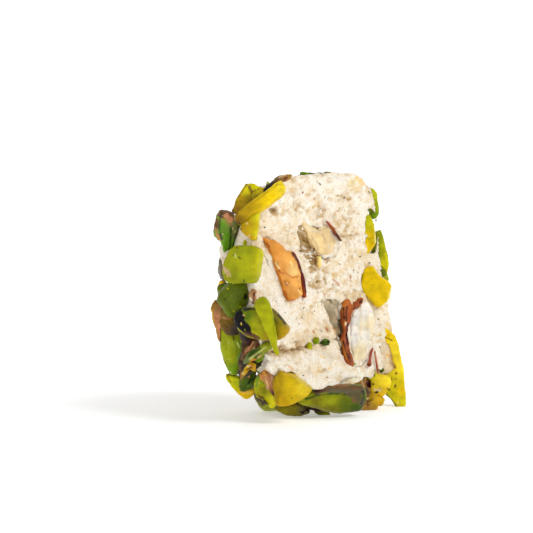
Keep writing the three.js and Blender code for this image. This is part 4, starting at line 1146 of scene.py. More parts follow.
        slot="nougat", spot=(8.0, -1.0, -15.2), facing=(-14, 26), thick=3.4, front=0.6, edge=2.2,
        tone=1.2, rough=1.8, jag=0.25,
        outline=[(334, 368), (346, 365), (360, 366), (367, 372), (364, 380), (357, 386), (345, 387.6),
            (335, 386.6), (330, 378)],
        dabs=[(342, 376, CURD), (355, 376, CURD), (350, 384, IVORY)]),
    "skin_by_cluster": dict(
        slot="pistachio_skin", spot=(10.4, -0.4, -16.2), facing=(-44, -6), thick=1.2, edge=3, rough=2.4,
        jag=0.3, nudge=1.2,
        outline=[(365, 374), (368, 376), (369.6, 381), (368.6, 386), (371, 391.6), (370, 397.4),
            (365, 397), (361, 394.6), (358.6, 390.4), (360.6, 385.6), (358.4, 381), (362, 378.4)],
        dabs=[(365, 377, CLAY), (363, 384, TAN_SKIN), (367, 392, BROWN_SKIN)],
        strokes=[(WINE, 2.0, [(367, 380), (366.6, 385)]), (SAND, 1.2, [(362, 381), (364, 388),
            (361, 391)]), (DUSK, 1.4, [(366, 388), (368.6, 394)]), (MUSTARD, 1.2, [(363.6, 393),
            (366.6, 395.6)])]),
}

# nougat pressed against the side of each almond: how far below the cut in mm, and the outline in pixels
BEDS = {
    "almond_roasted": (0.3, [
        (255, 233), (264, 235), (277, 238), (292, 248), (302, 258), (308, 274), (311, 292), (308, 302),
        (295, 306), (285, 304), (277, 288), (267, 262), (260, 247)]),
    "almond_lower": (0.15, [
        (345, 296), (352, 291), (362, 291), (370, 295), (377, 303), (381, 314), (382, 326), (380, 338),
        (376, 348), (370, 358), (364, 366), (353, 367), (348, 358), (346, 345), (345, 320)]),
    "almond_upper": (0.25, [
        (318, 226), (332, 224), (341, 236), (344, 244), (339, 253), (333, 258), (323, 258), (318, 254),
        (316, 240)]),
}
BED_THICK = 2.4
BED_FRONT = 0.1

# nougat that holds a nut of the rim, in the direction away from the photograph's camera
SEAT_FACING = (
    math.degrees(math.atan2(VIEW_IN_HALF.x, -VIEW_IN_HALF.y)),
    math.degrees(math.asin(VIEW_IN_HALF.z)),
)
SEAT_SIZE = 0.66  # of the nut's outline
SEAT_VOXEL = 0.3
SEAT_REACH = 7.0
SEAT_START = 0.3  # behind the nut's plane
SEAT_SUNK = 1.4
LEAST_GAP = 0.4


def plain_nougat(outline, middle, **shape):
    """The look of nougat that fills a space of this outline."""
    dabs = [(*middle, CURD), (*outline[0], IVORY)]
    return dict(outline=outline, edge=3, rough=1.6, jag=0.2, dabs=dabs, **shape)


def build_seat(name, look, spot, tree, seed):
    """Nougat that fills the gap behind a nut of the rim and so holds it."""
    start = Vector(spot) + VIEW_IN_HALF * look.get("nudge", 0.0) - VIEW_IN_HALF * SEAT_START
    hit, _, _, gap = tree.ray_cast(start, -VIEW_IN_HALF, SEAT_REACH)
    if hit is None or gap < LEAST_GAP:
        return
    outline = np.array(look["outline"], float)
    middle = (outline.max(0) + outline.min(0)) / 2
    outline = ((outline - middle) * SEAT_SIZE + middle).tolist()
    seat = plain_nougat(outline, middle, facing=SEAT_FACING, thick=gap + SEAT_SUNK, front=0.0)
    build_cutout(name + "_seat", seat, NOUGAT, start, seed, voxel=SEAT_VOXEL)


def build_photo_pieces(nougat):
    """The nuts, almonds and details that the photograph shows, each with random numbers of its own."""
    tree = search_tree([nougat])
    for count, (name, look) in enumerate([*ALMONDS.items(), *NUTS.items()]):
        spot = look.get("spot") or node_middle(name)
        finish = ALMOND if name in ALMONDS else look.get("material", PISTACHIO)
        build_cutout(name + "_nut", look, finish, spot, SEEDS_EACH * count, [name])
        if name in NUTS:
            build_seat(name, look, spot, tree, SEAT_SEED + SEEDS_EACH * count)
    for count, (name, look) in enumerate(DETAILS.items()):
        slot, seed = look["slot"], DETAIL_SEED + SEEDS_EACH * count
        build_cutout(name, look, FINISHES[slot], look["spot"], seed, voxel=DETAIL_VOXEL)
    for count, (name, (sunk, outline)) in enumerate(BEDS.items()):
        look = plain_nougat(outline, np.array(outline, float).mean(0), thick=BED_THICK, front=BED_FRONT)
        spot = Vector(ALMONDS[name]["spot"]) + Vector((0, sunk, 0))
        build_cutout(name + "_bed", look, NOUGAT, spot, BED_SEED + SEEDS_EACH * count)


# ---- nougat ------------------------------------------------------------------------------------
NOUGAT_VOXEL = 0.33
NOUGAT_SWELL = 0.16  # closes most of the clearance that the solids leave round each nut
FACE_EDGE = 2.4  # the finer mesh reaches this far behind the cut
FACE_SLANT = 0.62  # the photograph sees the face at a slant, so its round crumbs are drawn out along x
CRUMB = linear((253, 248, 239))
CREAM = linear((238, 211, 162))
TAN = linear((206, 170, 108))
# painted shade of the hollows, cracks and pockets in the cut face, grey low down and olive-tan higher up
OLIVE_TAN = linear((184, 154, 92))
HOLLOW_GREY = linear((170, 154, 124))

# the photograph's fuller right side and flatter top: [toward, height, spread in degrees]
SETTLING = [
    ((13.5, -1.0, 15.0), 1.5, 13), ((17.0, -1.0, 11.0), 1.7, 12), ((1.0, -1.0, 17.8), -0.4, 16),
    ((16.5, -1.0, -12.0), 1.6, 12), ((2.0, -1.0, -18.0), -1.1, 16),
]

# [x, z, radius, depth] of dents torn in the cut face
DENTS = [
    (-10.0, 12.2, 0.9, 0.9), (-6.5, 11.8, 0.5, 0.4), (2.2, 12.2, 0.7, 0.5), (3.4, 11.4, 0.5, 0.5),
    (8.4, 13.2, 1.1, 0.45), (10.2, 12.8, 0.5, 0.7), (6.0, 9.7, 0.7, 0.5), (5.0, 10.2, 0.6, 0.4),
    (-2.2, -0.6, 0.9, 0.7), (-1.2, 0.8, 0.7, 0.6), (0.6, 0.4, 0.6, 0.4), (-0.3, -1.6, 0.5, 0.5),
    (1.5, 1.8, 0.9, 0.6), (-8.0, -9.8, 0.8, 0.8), (-6.6, -10.0, 0.5, 0.5), (-12.4, -9.6, 1.2, 0.9),
    (-14.6, -9.7, 0.9, 0.8), (-10.6, -10.2, 0.8, 0.5), (10.6, 6.5, 0.9, 0.35), (8.6, 6.5, 0.6, 0.3),
]
# [x, z, radius] of places where the cut is smooth, and where it is torn
SMOOTH_PATCHES = [(-12.5, 0.5, 3.4), (-9.0, -5.5, 4.2), (6.0, 2.2, 2.6), (2.0, -15.0, 3.6)]
TORN_PATCHES = [(-0.8, 0.0, 3.2), (3.4, 12.0, 3.6), (10.0, 11.0, 3.2)]
LEDGE_SOFTNESS = 0.5
LEDGE_EXTRA = 0.5
LEDGE_WOBBLE = 0.35
LEDGE_END = (5, 8)  # x over which the step runs out
DENT_FLATNESS = 1.3
# how strongly a deep dent gets painted shade
DENT_SHADE = 1.4
# heights in mm of the relief
SIDE_BROAD, SIDE_LUMPS, SIDE_CRUMBS = 0.5, 0.26, 0.07
FACE_BROAD, FACE_LUMPS, FACE_CRUMBS, FACE_RIDGES = 0.26, 0.2, 0.12, 0.22
TORN_LUMPS, TORN_CRUMBS = 0.2, 0.12  # on top of those, where the cut is torn
DEEP_LUMPS = 0.35  # in the almonds' pockets
RIDGE_MIDDLE = 0.7
SMOOTHED = 0.6  # how much of the relief a smooth place loses
HOLLOW_RAGGED = 2.2  # pixels
CRACK_RAGGED = 0.6  # of a hollow's
PORE_DEPTH = 0.3
FINE_PORE_DEPTH = 0.2

# strokes [colour, width, corners] in the photograph's pixels: stains and crumbs of skin, and painted shade
# in the torn pits (the sand, tan, clay and umber marks), above the ledge and along the cracks (the sand,
# bronze and black lines there)
FACE_STROKES = [
    (PALE_FLESH, 9, [(352, 184), (360, 180)]), (APRICOT, 5, [(358, 178), (361, 183)]),
    (PALE_FLESH, 2.4, [(351, 190.5), (361, 187)]), (APRICOT, 2, [(326, 172.6), (332, 173)]),
    (PALE_FLESH, 2.4, [(371, 193), (371.5, 199)]), (UMBER, 3, [(270.6, 210.4), (274.5, 211)]),
    (SAND, 3, [(275, 213), (278, 214.8)]), (SAND, 2.4, [(303, 207), (306, 211)]),
    (SAND, 2, [(300, 202), (298, 206)]), (SAND, 2.4, [(262, 219), (264, 221)]),
    (SAND, 2, [(337.5, 195.5), (341, 196)]), (BROWN_SKIN, 1.6, [(344.5, 197.5)]),
    (SAND, 2.4, [(318, 217), (323, 215)]), (SAND, 1.6, [(342, 235.5), (350, 235.5), (358, 233.5)]),
    (SAND, 1.8, [(345, 228), (349, 226)]), (SAND, 4, [(311, 268), (317, 270)]),
    (BRONZE, 2, [(318, 255), (326, 260)]), (CLAY, 2.2, [(327, 262), (328, 258.5)]),
    (PINK_SKIN, 2.2, [(334, 280), (337, 283), (338.5, 286)]), (PINK_SKIN, 1.6, [(350.3, 276), (350.5, 281)]),
    (CLAY, 2.6, [(293, 349.5), (301, 349)]), (TAN_SKIN, 2.4, [(279, 347), (282, 351)]),
    (SAND, 2.6, [(285, 351), (288, 352.5)]), (SAND, 4.4, [(268, 352), (276, 356)]),
    (PALE_FLESH, 3, [(297, 375), (301, 380)]), (AMBER, 1.2, [(289, 366), (293, 368.5)]),
    (APRICOT, 1.2, [(320, 355), (324, 358)]), (APRICOT, 1.4, [(329, 368.6), (332, 370)]),
    (APRICOT, 1.4, [(378, 318), (379.4, 322)]), (APRICOT, 2, [(375, 342), (380, 341)]),
    (APRICOT, 1, [(387.5, 355.5), (393, 360)]), (AMBER, 1.2, [(330.5, 320), (334, 329), (337, 337)]),
    (BLACK_SKIN, 1.6, [(336, 333), (338.5, 340), (341, 347), (343, 354)]),
    (RUST, 1.6, [(325.6, 327.5), (327.5, 331)]), (PURPLE_SKIN, 1.5, [(320.5, 330.5), (322, 331.5)]),
    (COPPER, 1.2, [(312.8, 331), (314.4, 332.6)]), (WINE, 3, [(295.5, 342)]),
    (SAND, 2, [(324, 278), (326, 284)]), (SAND, 2.4, [(312, 281), (314, 287)]),
    (SAND, 2.2, [(316, 288), (318, 293)]), (TAN_SKIN, 1.6, [(361, 299.6), (358, 298)]),
]


# hollows torn out of the cut face: outlines in the photograph's pixels, depth in mm, and cracks as lines
HOLLOWS = [
    (0.5, [(299, 227.5), (303.5, 230), (307, 236), (309, 242), (308.2, 247), (303, 248.6), (299.4, 246),
           (301.4, 241), (300, 234)]),
    (0.85, [(296.6, 250), (303.3, 255.2), (309.6, 259), (316.6, 259.4), (319.4, 255), (315.6, 248.6),
            (310.6, 245), (303, 247)]),
    (0.8, [(320.4, 300.6), (325.3, 298.9), (333.7, 298.5), (338.6, 299.9), (341.4, 304.1), (341.4, 314.7),
           (342.1, 325.2), (341.4, 334.3), (338.6, 335.7), (335.1, 329.4), (330.9, 320.3), (326.7, 312.6),
           (323.2, 307.7)]),
]
# [width in pixels, depth in mm, corners]
CRACKS = [
    (2.2, 1.0, [(337.9, 337.8), (340.7, 345.5), (342.6, 354)]),
    (2.4, 0.7, [(319.4, 254.8), (328.6, 259.6)]),
    (1.6, 0.4, [(341, 236), (350, 236), (359, 233.6)]),
    (2.0, 0.5, [(262, 353), (277, 351), (289, 351.6), (302, 348)]),
    (1.6, 0.4, [(302, 348), (318, 343.6), (334, 339.6)]),
    (2.4, 0.5, [(310, 267.6), (319, 270)]),
]


def inside_by(pixels, outline):
    """How many pixels inside a closed outline each pixel lies, negative outside."""
    corners = np.array(outline, float)
    after = np.roll(corners, -1, axis=0)
    inside = np.zeros(len(pixels), bool)
    for (x0, y0), (x1, y1) in zip(corners, after):
        if y0 != y1:
            crosses = (y0 > pixels[:, 1]) != (y1 > pixels[:, 1])
            inside ^= crosses & (pixels[:, 0] < (x1 - x0) * (pixels[:, 1] - y0) / (y1 - y0) + x0)
    away = distance_to_line(pixels, [*outline, outline[0]])
    return np.where(inside, away, -away)


def ledge_line(x):
    """How high the step in the cut face runs."""
    return -9.9 - 0.42 * np.maximum(0, x + 7)


def patch_mask(points, patches):
    """How far points lie in soft round patches [x, z, radius] of the cut face."""
    total = np.zeros(len(points))
    for x, z, radius in patches:
        away = np.hypot(points[:, 0] - x, points[:, 2] - z) / radius
        total = np.maximum(total, np.exp(-away**2))
    return total


def nougat_mesh():
    """The nougat's solid as an even mesh, finer on the cut face."""
    mesh = evaluated(half_mesh("nougat"), [
        ("REMESH", {"mode": "VOXEL", "voxel_size": NOUGAT_VOXEL}),
        ("SMOOTH", {"factor": 0.5, "iterations": 1}),
    ])
    solid = bmesh.new()
    solid.from_mesh(mesh)
    bmesh.ops.triangulate(solid, faces=solid.faces)
    near = [
        edge for edge in solid.edges
        if all(v.co.y < FACE_EDGE and v.normal.y < -0.25 for v in edge.verts)
    ]
    bmesh.ops.subdivide_edges(solid, edges=near, cuts=1, use_grid_fill=True)
    bmesh.ops.triangulate(solid, faces=[face for face in solid.faces if len(face.verts) > 3])
    solid.to_mesh(mesh)
    solid.free()
    return evaluated(mesh, [("SMOOTH", {"factor": 0.5, "iterations": 1})])


def settled(points):
    """The nougat's outline, with the fuller and flatter places that the photograph shows."""
    middle = np.array(BALL_MIDDLE)
    rays = points - middle
    for toward, height, spread in SETTLING:
        aim = np.array(toward) - middle
        cosine = rays @ aim / (np.linalg.norm(rays, axis=1) * np.linalg.norm(aim) + 1e-9)
        push = height * np.exp(-(np.degrees(np.arccos(np.clip(cosine, -1, 1))) / spread) ** 2)
        share = smoothstep(9, 16, np.linalg.norm(rays, axis=1))
        outward = rays * np.array([1, 0, 1])
        outward /= np.linalg.norm(outward, axis=1)[:, None] + 1e-9
        points = points + outward * (push * share)[:, None]
    return points


def face_fields(points, normals):
    """How far points belong to the cut face, to the pockets in it, and to its smooth and torn places."""
    front = smoothstep(0.3, 0.8, -normals[:, 1]) * smoothstep(3.6, 2.2, points[:, 1])
    deep = front * smoothstep(0.5, 1.6, points[:, 1])
    return front, deep, patch_mask(points, SMOOTH_PATCHES), patch_mask(points, TORN_PATCHES)


def dented(points, face):
    """The step and the dents of the cut face, and how far each point lies in a dent, which sets the painted
    shade there.
    """
    wobble = LEDGE_WOBBLE * noise(points, 2.4, 6, 2)
    below = smoothstep(0, LEDGE_SOFTNESS, ledge_line(points[:, 0]) + wobble - points[:, 2])
    below *= 1 - smoothstep(*LEDGE_END, points[:, 0])
    points[:, 1] -= face * LEDGE_EXTRA * (below - 0.5)
    dent_shade = np.zeros(len(points))
    warp = 1 + 0.5 * noise(points, 0.9, 8, 2)
    for x, z, radius, depth in DENTS:
        away = np.hypot(points[:, 0] - x, (points[:, 2] - z) * DENT_FLATNESS) / (radius * warp)
        dent = np.exp(-away**2) * face
        points[:, 1] += depth * dent
        dent_shade = np.maximum(dent_shade, dent * min(1, depth * DENT_SHADE))
    return points, dent_shade


def dug(points, pixels, drawn_out, face):
    """The hollows and cracks of the cut face, and how far each point lies in one."""
    torn_edge = HOLLOW_RAGGED * noise(drawn_out, 0.8, 41, 3)
    dug_out = np.zeros(len(points))
    for depth, outline in HOLLOWS:
        inside = smoothstep(-0.8, 2.2, inside_by(pixels, outline) + torn_edge)
        dug_out = np.maximum(dug_out, depth * inside)
    dug_out *= face * (0.85 + 0.6 * noise(drawn_out, 0.9, 42, 3))
    points[:, 1] += dug_out
    hollow = smoothstep(0.1, 0.45, dug_out)
    for width, depth, line in CRACKS:
        crack = stroke_cover(width, distance_to_line(pixels, line) + CRACK_RAGGED * torn_edge) * face
        points[:, 1] += depth * crack
        hollow = np.maximum(hollow, crack * min(1, depth))
    return points, hollow


def build_nougat():
    """The nougat, with the relief, pores, hollows and colours of its torn cut face."""
    mesh = nougat_mesh()
    points = settled(vectors(mesh.vertices))
    normals = vectors(mesh.vertices, "normal")
    front, deep, smooth_cut, torn = face_fields(points, normals)
    face = front * (1 - deep)

    broad = noise(points, 5.5, 1, 3)
    side_rise = SIDE_BROAD * broad + SIDE_LUMPS * noise(points, 1.9, 2, 3)
    side_rise = side_rise + SIDE_CRUMBS * noise(points, 0.75, 3, 2)
    drawn_out = points * np.array([FACE_SLANT, 1, 1])
    lumps = noise(drawn_out, 1.5, 2, 3)
    crumbs = noise(drawn_out, 0.62, 3, 2)
    ridges = 1 - np.abs(noise(drawn_out, 2.2, 4, 3))
    face_rise = FACE_BROAD * broad + (FACE_LUMPS + TORN_LUMPS * torn) * lumps
    face_rise += (FACE_CRUMBS + TORN_CRUMBS * torn) * crumbs
    face_rise += FACE_RIDGES * (ridges - RIDGE_MIDDLE)
    face_rise *= 1 - SMOOTHED * smooth_cut
    rise = side_rise * (1 - front) + face_rise * face + DEEP_LUMPS * lumps * deep
    points = points + normals * (NOUGAT_SWELL + rise)[:, None]

    points, dent_shade = dented(points, face)
    pores = smoothstep(0.45, 0.75, noise(drawn_out, 1.2, 15, 2)) * (1 - smooth_cut) * face
    fine_pores = smoothstep(0.4, 0.75, noise(drawn_out, 0.55, 16, 2))
    fine_pores = fine_pores * (0.5 + 0.5 * torn) * (1 - SMOOTHED * smooth_cut) * face
    points[:, 1] += PORE_DEPTH * pores + FINE_PORE_DEPTH * fine_pores
    pixels = to_pixels(points)
    points, hollow = dug(points, pixels, drawn_out, face)
    move_points(mesh, points)

    shade = 0.5 + 0.5 * noise(points, 4.0, 11, 3)
    colours = mixed(CRUMB, CREAM, 0.1 + 0.4 * smoothstep(0.35, 0.9, shade))
    # painted shade: the low places of the cut face's relief are mixed towards cream
    relief_shade = np.clip(-(0.6 * lumps + 0.5 * crumbs), 0, 1) * face
    colours = mixed(colours, CREAM, 0.9 * relief_shade)
    # painted shade: dents, pores, fine pores and the low places of torn patches are mixed towards tan
    pits = 0.85 * dent_shade + 0.3 * relief_shade * torn + 0.35 * pores + 0.75 * fine_pores
    colours = mixed(colours, TAN, np.clip(pits, 0, 1))
    # painted shade: the hollows, the cracks and the pockets round the almonds are darker, grey low on the
    # face and olive-tan higher up
    inner = mixed(HOLLOW_GREY, OLIVE_TAN, smoothstep(-2, 4, points[:, 2]))
    hollow_shade = mixed(inner, CREAM, 0.15 + smoothstep(-0.2, 0.8, noise(drawn_out, 0.7, 12, 3)) * 0.65)
    colours = mixed(colours, hollow_shade, np.maximum(deep, hollow))
    stroked = painted(colours, pixels, FACE_STROKES, noise(points, 0.8, 14, 2))
    # the strokes, stains and painted shade alike, go only where the mesh faces out of the cut
    stain_and_shade_cover = smoothstep(0.05, 0.3, -normals[:, 1]) * (0.7 + 0.3 * noise(drawn_out, 0.6, 17, 2))
    set_tint(mesh, mixed(colours, stroked, stain_and_shade_cover))
    return add_piece("nougat_body", mesh, NOUGAT, ["nougat"])


# ---- nuts that the photograph doesn't show -----------------------------------------------------
BACK_VOXEL = 0.26
CUT_PLANE_FACES = 4  # coplanar triangles that make a cut rather than a facet
SAME_PLANE = math.radians(3)
BACK_CHANCE = 7
BACK_SWELL = 0.12
BACK_ROUGH = (0.7, 1.4)
BACK_LUMPS = (0.2, 2.8)
BACK_PITS = (0.03, 0.6)
BACK_COVER = (0.2, 0.65)  # how much of a nut its skin covers
SKIN_COVER = 0.85  # and of a nut whose slot is skin
CHIPS = 4  # random flat breaks on each nut
CHIP_HEIGHTS = (0.72, 0.92)  # of the nut's reach
CHIP_DEPTH = 0.92  # of what stands past a break
# the two end colours and the usual skins of these nuts, by look
BACK_COLOURS = {
    "pistachio_green": (MOSS, LEAF),
    "pistachio_lime": (LEAF, LIME),
    "pistachio_yellow": (GOLD, LEMON),
    "pistachio_skin": (OLIVE, LEAF),
}
BACK_SKINS = [BROWN_SKIN, PURPLE_SKIN, TAN_SKIN, GREY_SKIN, DUSK]
BARE_SKINS = {"coating_back_10": GREY_SKIN}  # nuts that are skin all round
# how far in mm some sit deeper, so that they stay behind what the photograph shows
DEEPER = {"coating_back_10": (2.6, 1.2, 0.0), "coating_back_19": (-0.6, 0.9, -2.1)}


def flat_cuts(mesh):
    """[point, normal] of each flat cut of a CAD nut."""
    solid = bmesh.new()
    solid.from_mesh(mesh)
    solid.faces.ensure_lookup_table()
    seen = set()
    planes = []
    for seed in solid.faces:
        if seed.index in seen:
            continue
        seen.add(seed.index)
        members, waiting = [seed], [seed]
        while waiting:
            for edge in waiting.pop().edges:
                for other in edge.link_faces:
                    if other.index not in seen and seed.normal.angle(other.normal, 0) < SAME_PLANE:
                        seen.add(other.index)
                        members.append(other)
                        waiting.append(other)
        if len(members) >= CUT_PLANE_FACES:
            planes.append((np.array(seed.calc_center_median()), np.array(seed.normal)))
    solid.free()
    return planes


def random_axis(chance):
    aim = np.array([chance.gauss(0, 1) for _ in range(3)])
    return aim / np.linalg.norm(aim)


def build_back_nut(node, seed, chance):
    """A fine chopped nut over a CAD solid, broken flat here and there, with skin on one side."""
    mesh = half_mesh(node)
    planes = flat_cuts(mesh)
    mesh = evaluated(mesh, [
        ("SUBSURF", {"levels": 1, "render_levels": 1}),
        ("REMESH", {"mode": "VOXEL", "voxel_size": BACK_VOXEL}),
        ("SMOOTH", {"factor": 0.5, "iterations": 3}),
    ])
    points = vectors(mesh.vertices)
    middle = (points.min(0) + points.max(0)) / 2
    _, _, axes = np.linalg.svd(points - points.mean(0), full_matrices=False)
    reach = np.abs((points - middle) @ axes.T).max(0)
    outward = middle - np.array(BALL_MIDDLE)
    outward /= np.linalg.norm(outward)
    on_cut = np.zeros(len(points))
    for _ in range(CHIPS):
        aim = random_axis(chance)
        if aim @ outward < -0.3:
            aim = -aim
        height = (points - middle) @ aim
        limit = height.max() * chance.uniform(*CHIP_HEIGHTS)
        over = np.maximum(height - limit, 0)
        points -= aim * (over * CHIP_DEPTH)[:, None]
        on_cut = np.maximum(on_cut, smoothstep(-0.05, 0.1, height - limit))
    points += DEEPER.get(node, (0, 0, 0))
    move_points(mesh, points)
    normals = vectors(mesh.vertices, "normal")
    for spot, normal in planes:
        near = smoothstep(0.5, 0.2, np.abs((points - spot) @ normal))
        on_cut = np.maximum(on_cut, near * smoothstep(0.6, 0.85, normals @ normal))
    rough = chance.uniform(*BACK_ROUGH)
    grain = drawn_along(points, axes[0])
    relief = nut_relief(points, grain, seed, BACK_LUMPS, BACK_PITS, 1 - 0.5 * on_cut)
    rise = BACK_SWELL + rough * relief
    points = points + normals * rise[:, None]
    move_points(mesh, points)

    low, high = (linear(colour) for colour in BACK_COLOURS[SLOTS[node]])
    local = (points - middle) @ axes.T / reach
    along = 0.5 + 0.4 * local[:, 0] + 0.3 * noise(points, 2.4, seed + 4, 2)
    colours = mixed(low, high, np.clip(along, 0, 1))
    cover = SKIN_COVER if SLOTS[node] == "pistachio_skin" else chance.uniform(*BACK_COVER)
    toward = random_axis(chance) + 0.5 * outward
    patch = normals @ toward + 0.6 * noise(points, 2.0, seed + 5, 3)
    threshold = 1.3 - 2.4 * cover
    skinned = smoothstep(threshold - 0.07, threshold + 0.07, patch) * (1 - on_cut)
    streak = 0.5 + 0.5 * noise(grain, 0.7, seed + 6, 3)
    skin = linear(chance.choice(BACK_SKINS))
    if node in BARE_SKINS:
        skin, skinned = linear(BARE_SKINS[node]), np.ones(len(points))
    colours = mixed(colours, mixed(skin * 0.6, skin * 1.5, streak), skinned)
    shade = 1 + 0.2 * noise(points, 1.2, seed + 8, 3)
    set_tint(mesh, colours * shade[:, None])
    return add_piece(node + "_nut", mesh, PISTACHIO, [node])


def build_back_nuts():
    """The nuts round the hidden sides, one for each node that no photographed piece replaces."""
    chance = random.Random(BACK_CHANCE)
    for count, node in enumerate(sorted(SLOTS)):
        if node != "nougat" and node not in ALMONDS and node not in NUTS:
            build_back_nut(node, BACK_SEED + SEEDS_EACH * count, chance)


# ---- scattered bits ----------------------------------------------------------------------------
BREAKS = 7  # flat sides of each bit


def chunk_shapes(chance, count, subdivisions, flatness):
    """[points, triangles] of broken bits about one across."""
    shapes = []
    for _ in range(count):
        solid = bmesh.new()
        bmesh.ops.create_icosphere(solid, subdivisions=subdivisions, radius=0.5)
        points = np.array([v.co for v in solid.verts])
        triangles = np.array([[v.index for v in face.verts] for face in solid.faces])
        solid.free()
        for _ in range(BREAKS):
            aim = random_axis(chance)
            over = np.maximum(points @ aim - chance.uniform(0.2, 0.4), 0)
            points -= aim * (over * 0.95)[:, None]
        points *= 1 + 0.12 * noise(points, 0.5, chance.randrange(900), 2)[:, None]
        points *= np.array([chance.uniform(1.0, 1.7), chance.uniform(0.8, 1.1), flatness])
        shapes.append((points, triangles))
    return shapes


def scattered(name, material, bits, shapes, chance):
    """One mesh of many bits of [spot, outward direction, size, colour, sink]."""
    all_points, all_triangles, all_colours = [], [], []
    start = 0
    for spot, outward, size, colour, sink in bits:
        points, triangles = chance.choice(shapes)
        turn = Vector(outward).to_track_quat("Z", "Y").to_matrix()
        lean = Matrix.Rotation(chance.gauss(0, 0.35), 3, "X")
        spin = Matrix.Rotation(chance.uniform(0, 6.28), 3, "Z")
        turn = np.array(turn @ (lean @ spin))
        local = points * size
        world = local @ turn.T + np.array(spot) - np.array(outward) * sink
        tones = linear(colour) * (1 + 0.25 * noise(world, 0.9, len(bits), 2))[:, None]
        tones = tones * (0.75 + 0.5 * np.clip(points[:, 0] + 0.5, 0, 1))[:, None]
        all_points.append(world)
        all_triangles.append(triangles + start)
        all_colours.append(tones)
        start += len(points)
    points = np.concatenate(all_points)
    triangles = np.concatenate(all_triangles)
    mesh = bpy.data.meshes.new(name)
    mesh.from_pydata(points.tolist(), [], triangles.tolist())
    set_tint(mesh, np.concatenate(all_colours))
    return add_piece(name, mesh, material)


def search_tree(pieces):
    """A tree for finding points on several finished pieces, in the half frame."""
    points, polygons, start = [], [], 0
    turn, shift = to_array(ROW_TO_HALF)
    for piece in pieces:
        mesh = piece.data
        points.append(vectors(mesh.vertices) @ turn.T + shift)
        polygons.extend([tuple(v + start for v in face.vertices) for face in mesh.polygons])
        start += len(mesh.vertices)
    return BVHTree.FromPolygons([Vector(p) for p in np.concatenate(points)], polygons)


def random_direction(chance):
    aim = Vector([chance.gauss(0, 1) for _ in range(3)])
    return aim.normalized()


def weighted(chance, choices):
    return chance.choices([value for value, _ in choices], [weight for _, weight in choices])[0]


BIT_COLOURS = {
    "green": [(MOSS, 7), (GREEN, 3), (LEAF, 1)],
    "yellow": [(LIME, 3), (YELLOW, 3), (LEMON, 1), (LEAF, 3)],
    "skin": [(BROWN_SKIN, 3), (PURPLE_SKIN, 2), (TAN_SKIN, 3), (DUSK, 2), (RUST, 2)],
    "pale": [(PALE_FLESH, 3), (PALE_CRUMB, 3)],
}
SPECK_COLOURS = [
    (BLACK_SKIN, 5), (GREY_SKIN, 3), (CLAY, 3), (AMBER, 3), (DARK_RED, 1), (PALE_GREEN, 2),
]
CRUMB_COLOURS = [(MILK, 4), (PALE_FLESH, 3)]
HOLLOW_CRUMB_COLOURS = [(CURD, 3), (IVORY, 3), (SAND, 2), (CLAY, 2), (BRONZE, 1)]
# [x, y in the photograph, radius in mm, colour] of the specks that stand out
BOLD_SPECKS = [
    (320, 184, 0.2, BLACK_SKIN), (302.6, 192.8, 0.2, DARK_RED), (314, 198.6, 0.17, COPPER),
    (264.6, 227.8, 0.13, BLACK_SKIN), (280.6, 233.4, 0.13, BLACK_SKIN), (294.7, 238.4, 0.25, AMBER),
    (321.5, 208.3, 0.13, DUSK), (337.4, 211.6, 0.13, PINK_SKIN), (325, 197.4, 0.12, DUSK),
    (345, 254.6, 0.14, PURPLE_SKIN), (360.3, 256.3, 0.14, PURPLE_SKIN), (369.2, 263.4, 0.15, DUSK),
    (276.3, 301.3, 0.12, BLACK_SKIN), (303.8, 308, 0.15, BLACK_SKIN), (301.7, 317.4, 0.13, BLACK_SKIN),
    (296.4, 318.6, 0.1, BLACK_SKIN), (285, 312.4, 0.1, SPRING_GREEN), (314.4, 311, 0.15, TAN_SKIN),
    (299, 324, 0.16, PINK_SKIN), (292.6, 338.4, 0.12, BLACK_SKIN), (355.3, 363.1, 0.24, BLACK_SKIN),
    (379.2, 346.5, 0.2, RUST), (384.5, 365.3, 0.11, GREY_SKIN), (327.5, 377.3, 0.13, DUSK),
    (302.6, 375.3, 0.13, DUSK), (380.4, 332.4, 0.13, DUSK), (340, 264.4, 0.13, DUSK),
    (353.6, 270, 0.14, DUSK), (358, 272.6, 0.11, DUSK), (324.6, 293.8, 0.16, HONEY),
    (317, 340, 0.12, GREEN), (334.6, 339, 0.12, GREEN), (360.6, 306.8, 0.13, DUSK),
    (378.3, 319.3, 0.12, BROWN_SKIN), (352.4, 358, 0.13, DUSK), (336, 306.6, 0.12, GREY_SKIN),
]


BITS_CHANCE = 11
FACE_CLEAR = 14.5  # no bits of the coating fall on the cut face, nor in its hollows
TRIES = 40000
CHOPPED_CLEAR = 0.45  # how far chopped bits keep from the nuts
# name, material, slot, palette, most, and sizes of the chopped bits
CHOPPED = [
    ("chopped_green", PISTACHIO, "pistachio_green", "green", 210, (1.2, 2.8)),
    ("chopped_yellow", PISTACHIO, "pistachio_yellow", "yellow", 170, (1.2, 2.6)),
    ("chopped_skin", SKIN, "pistachio_skin", "skin", 110, (1.0, 2.2)),
]
# palette, most and sizes of the flakes and of each part of the dust
FLAKES = ("skin", 60, (0.9, 2.2))
DUST = [
    ("green", 420, (0.22, 0.6)), ("skin", 260, (0.2, 0.5)), ("pale", 260, (0.2, 0.5)),
    ("yellow", 260, (0.2, 0.5)),
]
SPECKS = 900
CRUMBS = 220
TRIES_IN_HOLLOW = 60


